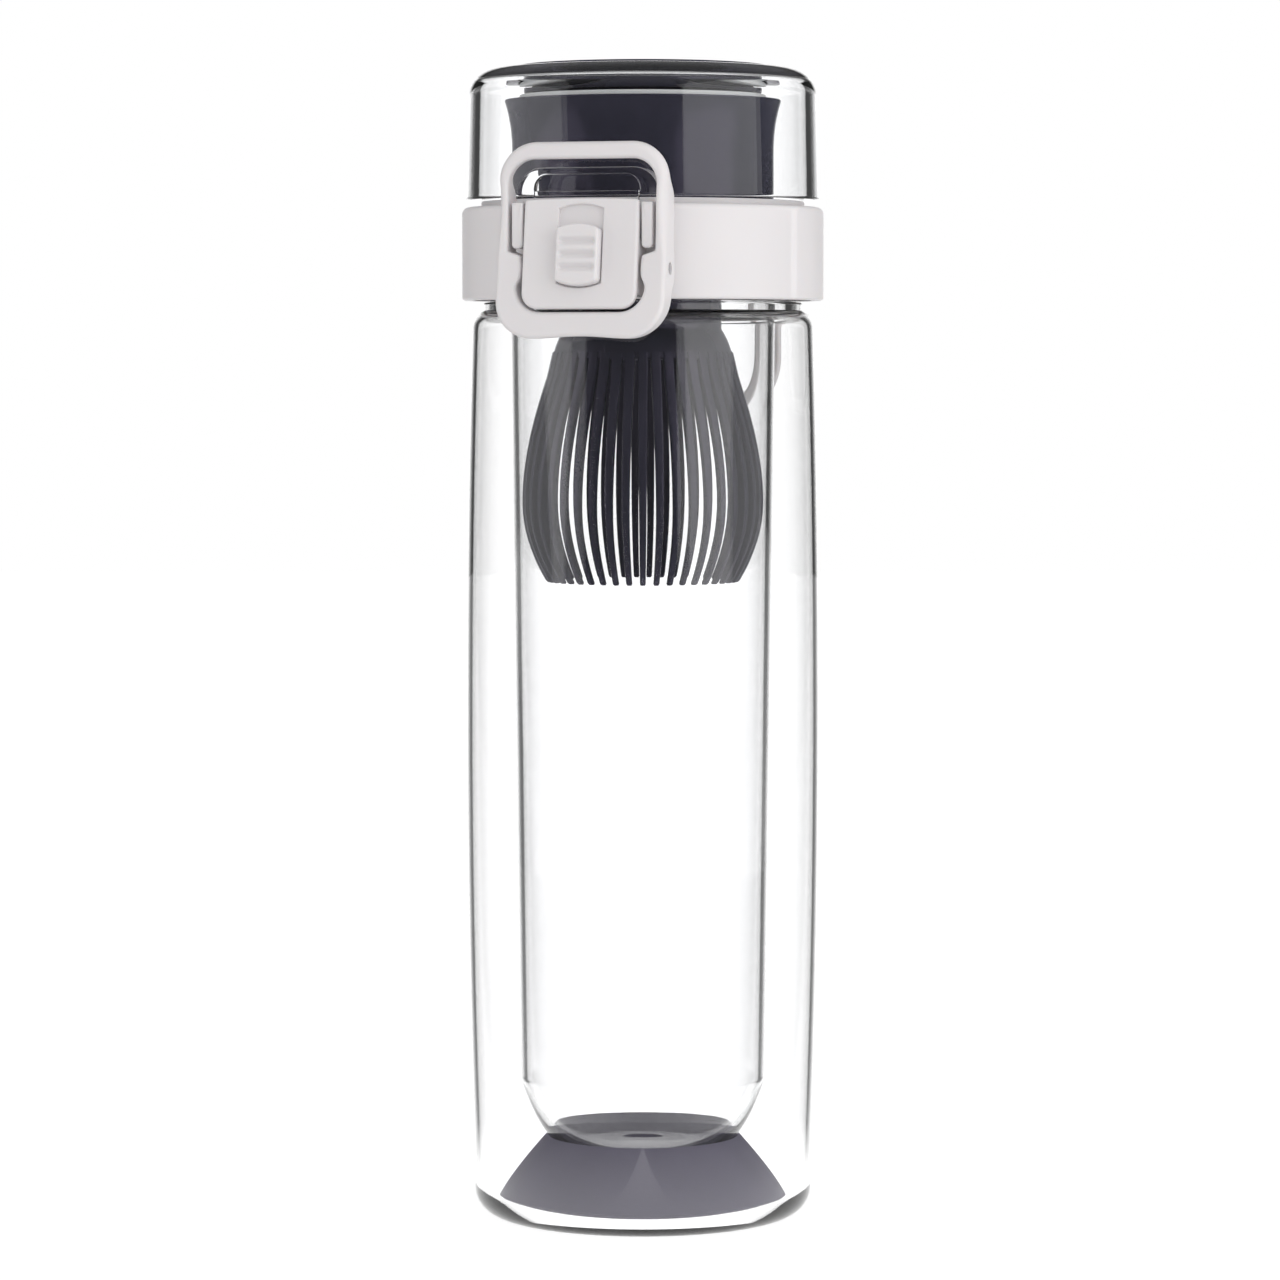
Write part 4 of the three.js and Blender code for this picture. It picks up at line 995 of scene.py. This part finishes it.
# %% Clear cap
seat = form(turn, [(0, 232.05), (25.7, 232.05), (25.7, 240.0), (0, 240.0)], FINE)
carve(cap, join=joins, take=[hollow, seat, bore(HINGE_BORE, 20.0, HINGE)])
dress(cap, "clear_flip_cap", clear_cap, "cap", "cap_shell")

# %% [markdown]
# ## Disc
# A dark disc is glued into the top of the cap and stands a little proud. Its rim is rounded, because
# a thumb rubs over it each time the cap is closed.

# %% Disc in the cap's top
disc = [(0, 231.95, 0), (25.8, 231.95, 0.2), (25.8, 233.6, 0.4), (0, 233.6, 0)]
dress(form(turn, line(disc), FINE), "top_disc", grey, "cap", "cap_disc")

# %% [markdown]
# ## Stopper and lip
# A dark stopper under the cap carries a ring of silicone with a tapered lip. The lip dips into the
# spout's rim and closes it. Both are turned, and the taper guides the lip in when the cap closes.

# %% Stopper and its silicone lip
core = [(0, 225.05, 0), (22.3, 225.05, 0.5), (22.3, 227.95, 0.3)]
head = [(24.1, 227.95, 0.3), (24.1, 230.15, 0.1), (0, 230.15, 0)]
dress(form(turn, line(core + head), FINE), "cap_stopper", grey, "cap", "stopper")
taper = [(22.55, 224.8, 0.2), (22.95, 224.8, 0.15), (24.95, 226.6, 0.5)]
band = [(24.95, 227.6, 0.3), (22.55, 227.6, 0.3)]
dress(form(turn, eased(taper + band), FINE), "stopper_lip", milky, "cap", "cap_seal")

# %% [markdown]
# ## Pins
# Two pins of drawn steel carry everything that swings at the lid. Their ends are domed by tumbling. A
# rod with rounded ends shows that, where a plain cylinder would look cut off.

# %% Pins
dress(form(rod, 1.0, -17.05, 17.05, PIN, 0.45), "pin_of_latch", steel, "lid", "latch_pin")
dress(form(rod, 1.2, -19.75, 19.75, HINGE, 0.5), "pin_of_hinge", steel, "lid", "hinge_pin")

# %% [markdown]
# ## Coiled wire
# A spring is wire wound on a mandrel. So its path is a helix, and a round section is carried along the
# path, kept upright against the coil's own axis so that the wire doesn't twist.


# %% Helix and wire
def coil(centre, axis, start, radius, turns, pitch, steps=40):
    side = axis.cross(start)
    points = []
    for k in range(round(turns * steps) + 1):
        t = 2 * pi * k / steps
        rise = axis * (pitch * k / steps)
        points.append(centre + rise + start * (radius * cos(t)) + side * (radius * sin(t)))
    return points


def wire(shell, points, upright, radius=0.35, sides=12):
    ring = [(radius * cos(t), radius * sin(t)) for t in circle(sides)]
    rings = []
    for before, here, after in neighbours(points):
        ahead = (after - before).normalized()
        beside = upright.cross(ahead).normalized()
        above = ahead.cross(beside)
        rings.append([here + beside * a + above * b for a, b in ring])
    sweep(shell, rings)


X_AXIS = Vector((1, 0, 0))
Y_AXIS = Vector((0, 1, 0))
Z_AXIS = Vector((0, 0, 1))
print("One turn of the hinge spring has", len(coil(Vector(), X_AXIS, Y_AXIS, 2.0, 1, 1.2)), "points")

# %% [markdown]
# ## Springs
# The coil beside the cap's knuckle throws the cap open, with one leg on the collar and one on the cap.
# A short coil behind the latch pushes the latch back after a press. Both are the same wire on
# different paths, so one function makes them.

# %% Hinge spring and lever spring
SPRING_LEG = 2.4
hinge_coil = coil(Vector((3.0, HINGE_Y, HINGE_Z)), X_AXIS, Y_AXIS, 2.0, 3.25, 1.2)
last_leg = (hinge_coil[-1] - hinge_coil[-2]).normalized() * SPRING_LEG
path = [hinge_coil[0] - Z_AXIS * SPRING_LEG, *hinge_coil, hinge_coil[-1] + last_leg]
dress(form(wire, path, X_AXIS), "spring_of_hinge", steel, "lid", "hinge_spring")
lever_coil = coil(Vector((0.0, -37.2, PIN_Z - 3.5)), -Y_AXIS, Z_AXIS, 1.75, 2.75, 1.15)
dress(form(wire, lever_coil, Y_AXIS), "spring_of_lever", steel, "lid", "lever_spring")

# %% [markdown]
# ## Frame of the latch
# The push latch leans out at the bottom, where the thumb presses it. Its drawing has its origin on
# the pin, with depth measured towards the bottle, and one matrix leans the drawing by eight degrees,
# which is simpler than leaning every point.

# %% Places in the latch's frame
LATCH = Matrix.Translation((0, *PIN)) @ Matrix.Rotation(radians(-8), 4, "X")


def in_latch(u, v, depth):
    return LATCH @ Vector((u, depth, v))


def across_latch(u, v, depth):
    return LATCH @ Vector((depth, u, v))


PLATE_FACE = -4.2
print("The latch's face stands at", [round(c, 1) for c in in_latch(0, 0, PLATE_FACE)])

# %% [markdown]
# ## Plate of the latch
# The plate has a slightly bowed top edge and rounder corners at the bottom. Its pocket takes the lock
# slide and is arched at both ends like the slide. A slot in the pocket's floor lets the slide's stem
# through, and the slide always covers it.


# %% Plate of the latch
def arched(half, bottom, top, crown=0.9):
    low = bowed((-half, bottom + crown), (0, bottom - crown), (half, bottom + crown), 16)
    high = bowed((half, top - crown), (0, top + crown), (-half, top - crown), 16)
    return low + high


PLATE_HALF = 11.7
SLOT_HALF = 1.75
top_edge = bowed((PLATE_HALF, 13.1), (0, 13.7), (-PLATE_HALF, 13.1), 12)
corners = [(-PLATE_HALF, -8.4, 3.2), (PLATE_HALF, -8.4, 3.2)]
corners += [(p.x, p.y, 0.8 if abs(p.x) > PLATE_HALF - 0.1 else 0) for p in top_edge]
lever = form(flat, eased(corners, steps=8), PLATE_FACE, -2.2, 0.6, in_latch)
pocket = form(mouth, arched(4.55, -4.35, 12.15), -3.4, PLATE_FACE, 0.3, in_latch)
slot = boxed(-SLOT_HALF, SLOT_HALF, 0.65, 7.65, 0.4)
carve(lever, take=[pocket, form(flat, slot, -4.5, -1.5, 0, in_latch)])
print("Plate of the latch:", len(lever.data.polygons), "faces")

# %% [markdown]
# ## Webs of the latch
# Two webs behind the plate carry it on the pin. They are joined to it and bored together, so that
# both holes lie on one line.

# %% Webs and the bore for the pin
web = boxed(-3.2, 1.7, -5.5, 5.5, 0.8)
webs = [form(flat, web, side * 10.1, side * 11.65, 0.2, across_latch) for side in (1, -1)]
carve(lever, join=webs, take=[bore(PIN_BORE, 13, PIN)])
dress(lever, "push_latch", white, "latch", "latch_lever")

# %% [markdown]
# ## Ribs of the slide
# A ribbed thumb slide in the pocket blocks the latch. Its four ribs are soft waves that die out before
# the rim. They are a height over a fine grid, whose rows crowd at the rim to round it.

# %% Grid steps and waves of the slide
SLIDE_HALF = 4.3
SLIDE_LOW = -4.1
SLIDE_HIGH = 8.0
SLIDE_FACE = -6.5
SLIDE_BACK = -3.65
SLIDE_CROWN = 0.9
RIBS = 4
RIB_PITCH = (SLIDE_HIGH - SLIDE_LOW - 2 * SLIDE_CROWN) / RIBS
FIRST_VALLEY = SLIDE_LOW + SLIDE_CROWN + RIB_PITCH


def eased_steps(length, ease, between, rim_steps=5):
    near = [(ease * (1 - cos(t)), ease * (1 - sin(t))) for t in quarter_turn(rim_steps)]
    middle = [(ease + (length - 2 * ease) * k / between, 0.0) for k in range(1, between)]
    far = [(length - from_end, fall) for from_end, fall in reversed(near)]
    return near + middle + far


def wave(x, z):
    if not -0.5 * RIB_PITCH < z - FIRST_VALLEY < 2.5 * RIB_PITCH:
        return 0.0
    valley = 0.5 + 0.5 * cos(2 * pi * (z - FIRST_VALLEY) / RIB_PITCH)
    return 0.8 * valley**1.5 * smooth(SLIDE_HALF - 0.35 - abs(x), 0, 0.9)


print("A valley of the slide is", round(wave(0, FIRST_VALLEY), 2), "mm deep")

# %% [markdown]
# ## Lock slide
# The grid is the slide's front. A skirt runs from its border back into the pocket, and a stem on the
# back goes through the latch.

# %% Front of the slide
shell = bmesh.new()
grid = []
for from_left, side_fall in eased_steps(2 * SLIDE_HALF, 0.5, 24):
    x = from_left - SLIDE_HALF
    share = abs(x) / SLIDE_HALF
    corner = 0.6 * (1 - (1 - max(0.0, (share - 0.87) / 0.13) ** 2) ** 0.5)
    low = SLIDE_LOW + SLIDE_CROWN * share**2 + corner
    high = SLIDE_HIGH - SLIDE_CROWN * share**2 - corner
    points = []
    for from_low, end_fall in eased_steps(high - low, 0.5, 80):
        z = low + from_low
        points.append(in_latch(x, z, SLIDE_FACE + max(side_fall, end_fall) + wave(x, z)))
    grid.append(row(shell, points))
for left, right in zip(grid, grid[1:]):
    for k in range(len(left) - 1):
        shell.faces.new((left[k], right[k], right[k + 1], left[k + 1]))
print("Front of the slide:", len(shell.faces), "faces")

# %% Skirt and stem of the slide
upper = [column[-1] for column in grid[1:-1]]
lower = [column[0] for column in grid[-2:0:-1]]
border = grid[0] + upper + grid[-1][::-1] + lower
into_latch = LATCH.inverted()
foot = []
for corner in border:
    local = into_latch @ corner.co
    foot.append(shell.verts.new(LATCH @ Vector((local.x, SLIDE_BACK, local.z))))
strip(shell, border, foot)
shell.faces.new(foot)
stem = boxed(-1.5, 1.5, 0.9, 3.5, 0.3)
flat(shell, stem, -3.7, -1.35, 0.15, in_latch)
dress(settle(shell), "lock_slide", white, "lock_slide", "lock_slider")

# %% [markdown]
# ## Keeper
# A small plate pressed on the stem holds the slide in the latch from behind. It is a flat form with a
# hole cut through it, as it would be punched from sheet.

# %% Keeper behind the latch
hole = boxed(-SLOT_HALF, SLOT_HALF, 0.65, 3.75, 0.3)
keeper = form(flat, boxed(-2.3, 2.3, 0.1, 4.3, 0.4), -1.95, -1.35, 0.12, in_latch)
carve(keeper, take=[form(flat, hole, -3.0, 0.0, 0, in_latch)])
dress(keeper, "slide_keeper", grey, "lock_slide", "slider_keeper")

# %% [markdown]
# ## Form of the bail
# The bail is a rounded-square loop that rocks on the latch pin. Its lower bar stands out for the
# finger, and its sides reach back beside the arch. Round the pin it swells into bosses. These curves
# give its front, its back and its inner edge at any height.

# %% Front, back and inner edge of the bail
BAIL_LOW = 178.47
BAIL_TOP = 216.9
PIN_FRONT = -41.9
PIN_BACK = -35.2


def bail_front(z):
    if z < PIN_Z:
        return PIN_FRONT - 2.08 * (PIN_Z - z) / (PIN_Z - BAIL_LOW)
    return PIN_FRONT + 1.5 * (z - PIN_Z) / (BAIL_TOP - PIN_Z)


def bail_back(z):
    plain = PIN_BACK - 2.6 * smooth(z, 206.0, 210.4)
    if z < PIN_Z:
        plain = PIN_BACK - 4.38 * (PIN_Z - z) / (PIN_Z - BAIL_LOW)
    return plain + (-34.9 - plain) * (1 - smooth(abs(z - PIN_Z), 1.6, 4.6))


def bail_inner(z):
    boss = 12.15 + 0.3 * ((z - PIN_Z) / 2.6) ** 2
    if z > PIN_Z:
        return boss + (15.1 - boss) * smooth(z, 194.5, 195.7)
    return boss + (13.1 - boss) * smooth(PIN_Z - z, 1.4, 4.0)


print("Depth of the bail at the pin:", round(bail_back(PIN_Z) - bail_front(PIN_Z), 1), "mm")

# %% [markdown]
# ## Section of the bail
# The bars have a soft section. Above the pin the outer front edge turns into a wide round, so the
# upper half looks slimmer from the side. Each corner of the section is a quarter of an ellipse.


# %% Section of a bar
def corner_round(centre, across, deep, first):
    turns = [radians(first + 15 * k) for k in range(7)]
    return [(centre[0] + across * cos(t), centre[1] + deep * sin(t)) for t in turns]


def bail_section(out, into):
    width = (out - into).length
    depth = bail_back(out.y) - bail_front(out.y)
    rise = smooth(out.y, PIN_Z, 205.0)
    wide = 1.0 + 0.55 * rise
    long = 1.0 + (0.72 * depth - 1.0) * rise
    ease = min(0.8, (width - wide) * 0.85)
    section = corner_round((wide, long), wide, long, 180)
    section += corner_round((width - ease, ease), ease, ease, 270)
    section += corner_round((width - ease, depth - ease), ease, ease, 0)
    section += corner_round((ease, depth - ease), ease, ease, 90)
    ring = []
    for across, deep in section:
        at = out.lerp(into, across / width)
        front = bail_front(at.y)
        ring.append((at.x, front + (bail_back(at.y) - front) * deep / depth, at.y))
    return ring


sample = bail_section(Vector((17.3, 200)), Vector((15.1, 200)))
print("A section of the bail has", len(sample), "points")

# %% [markdown]
# ## Bail
# Pairs of points on the outer and the inner edge lead the section round the loop. The lower bar's
# outer edge is lifted a touch in the middle, so that a fingertip finds it. The bore for the pin is
# cut last.

# %% Bail as one swept loop
OUT_ROUND = 7.5
OUT_X = 9.8
OUT_LOW = 185.97
IN_ROUND = 5.0
IN_LOW = 188.67
outer_arc = arc((OUT_X, OUT_LOW), OUT_ROUND, -90, 0, 12)
sides = list(zip(outer_arc, arc((8.1, IN_LOW), IN_ROUND, -90, 0, 12)))
for share in shares(80)[1:-1]:
    z_in = IN_LOW + 19.83 * share
    outer = Vector((OUT_X + OUT_ROUND, OUT_LOW + 23.43 * share))
    sides.append((outer, Vector((bail_inner(z_in), z_in))))
sides += zip(arc((OUT_X, 209.4), OUT_ROUND, 0, 90, 12), arc((10.1, 208.5), IN_ROUND, 0, 90, 12))
steps = [OUT_X - 2 * OUT_X * k / 12 for k in range(1, 12)]
upper_bar = [(Vector((x, BAIL_TOP)), Vector((x * 1.03, 213.5))) for x in steps]
lower_bar = []
for x in [-OUT_X + 2 * OUT_X * k / 16 for k in range(1, 16)]:
    up = 0.45 * (1 - (x / OUT_X) ** 2) ** 2
    lower_bar.append((Vector((x, BAIL_LOW + up)), Vector((x * 0.827, 183.67))))
other = [(Vector((-a.x, a.y)), Vector((-b.x, b.y))) for a, b in reversed(sides)]
rings = [bail_section(a, b) for a, b in sides + upper_bar + other + lower_bar]
bail = form(sweep, rings, loop=True)
carve(bail, take=[bore(PIN_BORE, 20, PIN)], crease=50)
dress(bail, "finger_bail", white, "bail", "safety_bail")

# %% [markdown]
# ## Carry loop
# Behind the bottle a U of the same white plastic hangs on the hinge pin, with an eye on each end. It
# shows through the clear barrel as a pale bow. A square section with rounded edges is swept along the
# U, and the eyes are short rods that are bored together.

# %% Path of the carry loop
BOW_ROUND = 11.6
legs = [(-18.6, HINGE_Z - 2.7 * k) for k in range(10)]
bow = arc((-7.0, 175.45), BOW_ROUND, 180, 270, 18) + arc((7.0, 175.45), BOW_ROUND, 270, 360, 18)
path = [Vector(p) for p in legs] + bow + [Vector((-x, z)) for x, z in reversed(legs)]
print("Path of the loop:", len(path), "points")

# %% Carry loop with its eyes
bar = boxed(-1.4, 1.4, -1.4, 1.4, 0.8, steps=4)
rings = []
for before, here, after in neighbours(path):
    ahead = (after - before).normalized()
    out = Vector((ahead.y, -ahead.x))
    rings.append([(here.x + out.x * a, HINGE_Y + d, here.y + out.y * a) for a, d in bar])
loop = form(sweep, rings)
eyes = [form(rod, 3.0, side * 17.2, side * 20.0, HINGE, 0.5) for side in (1, -1)]
carve(loop, join=eyes, take=[bore(HINGE_BORE, 25, HINGE)])
dress(loop, "carry_bow", white, "loop", "carry_loop")

# %% [markdown]
# The last cell measures the shown box again and prints how much larger it is than the CAD box,
# in millimetres.

# %% Compare the boxes and finish
shown_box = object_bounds()
growth = [round((b - a) / MM, 2) for a, b in zip(solid_box[1] - solid_box[0], shown_box[1] - shown_box[0])]
print("The shown box is larger than the CAD box by", growth, "mm")
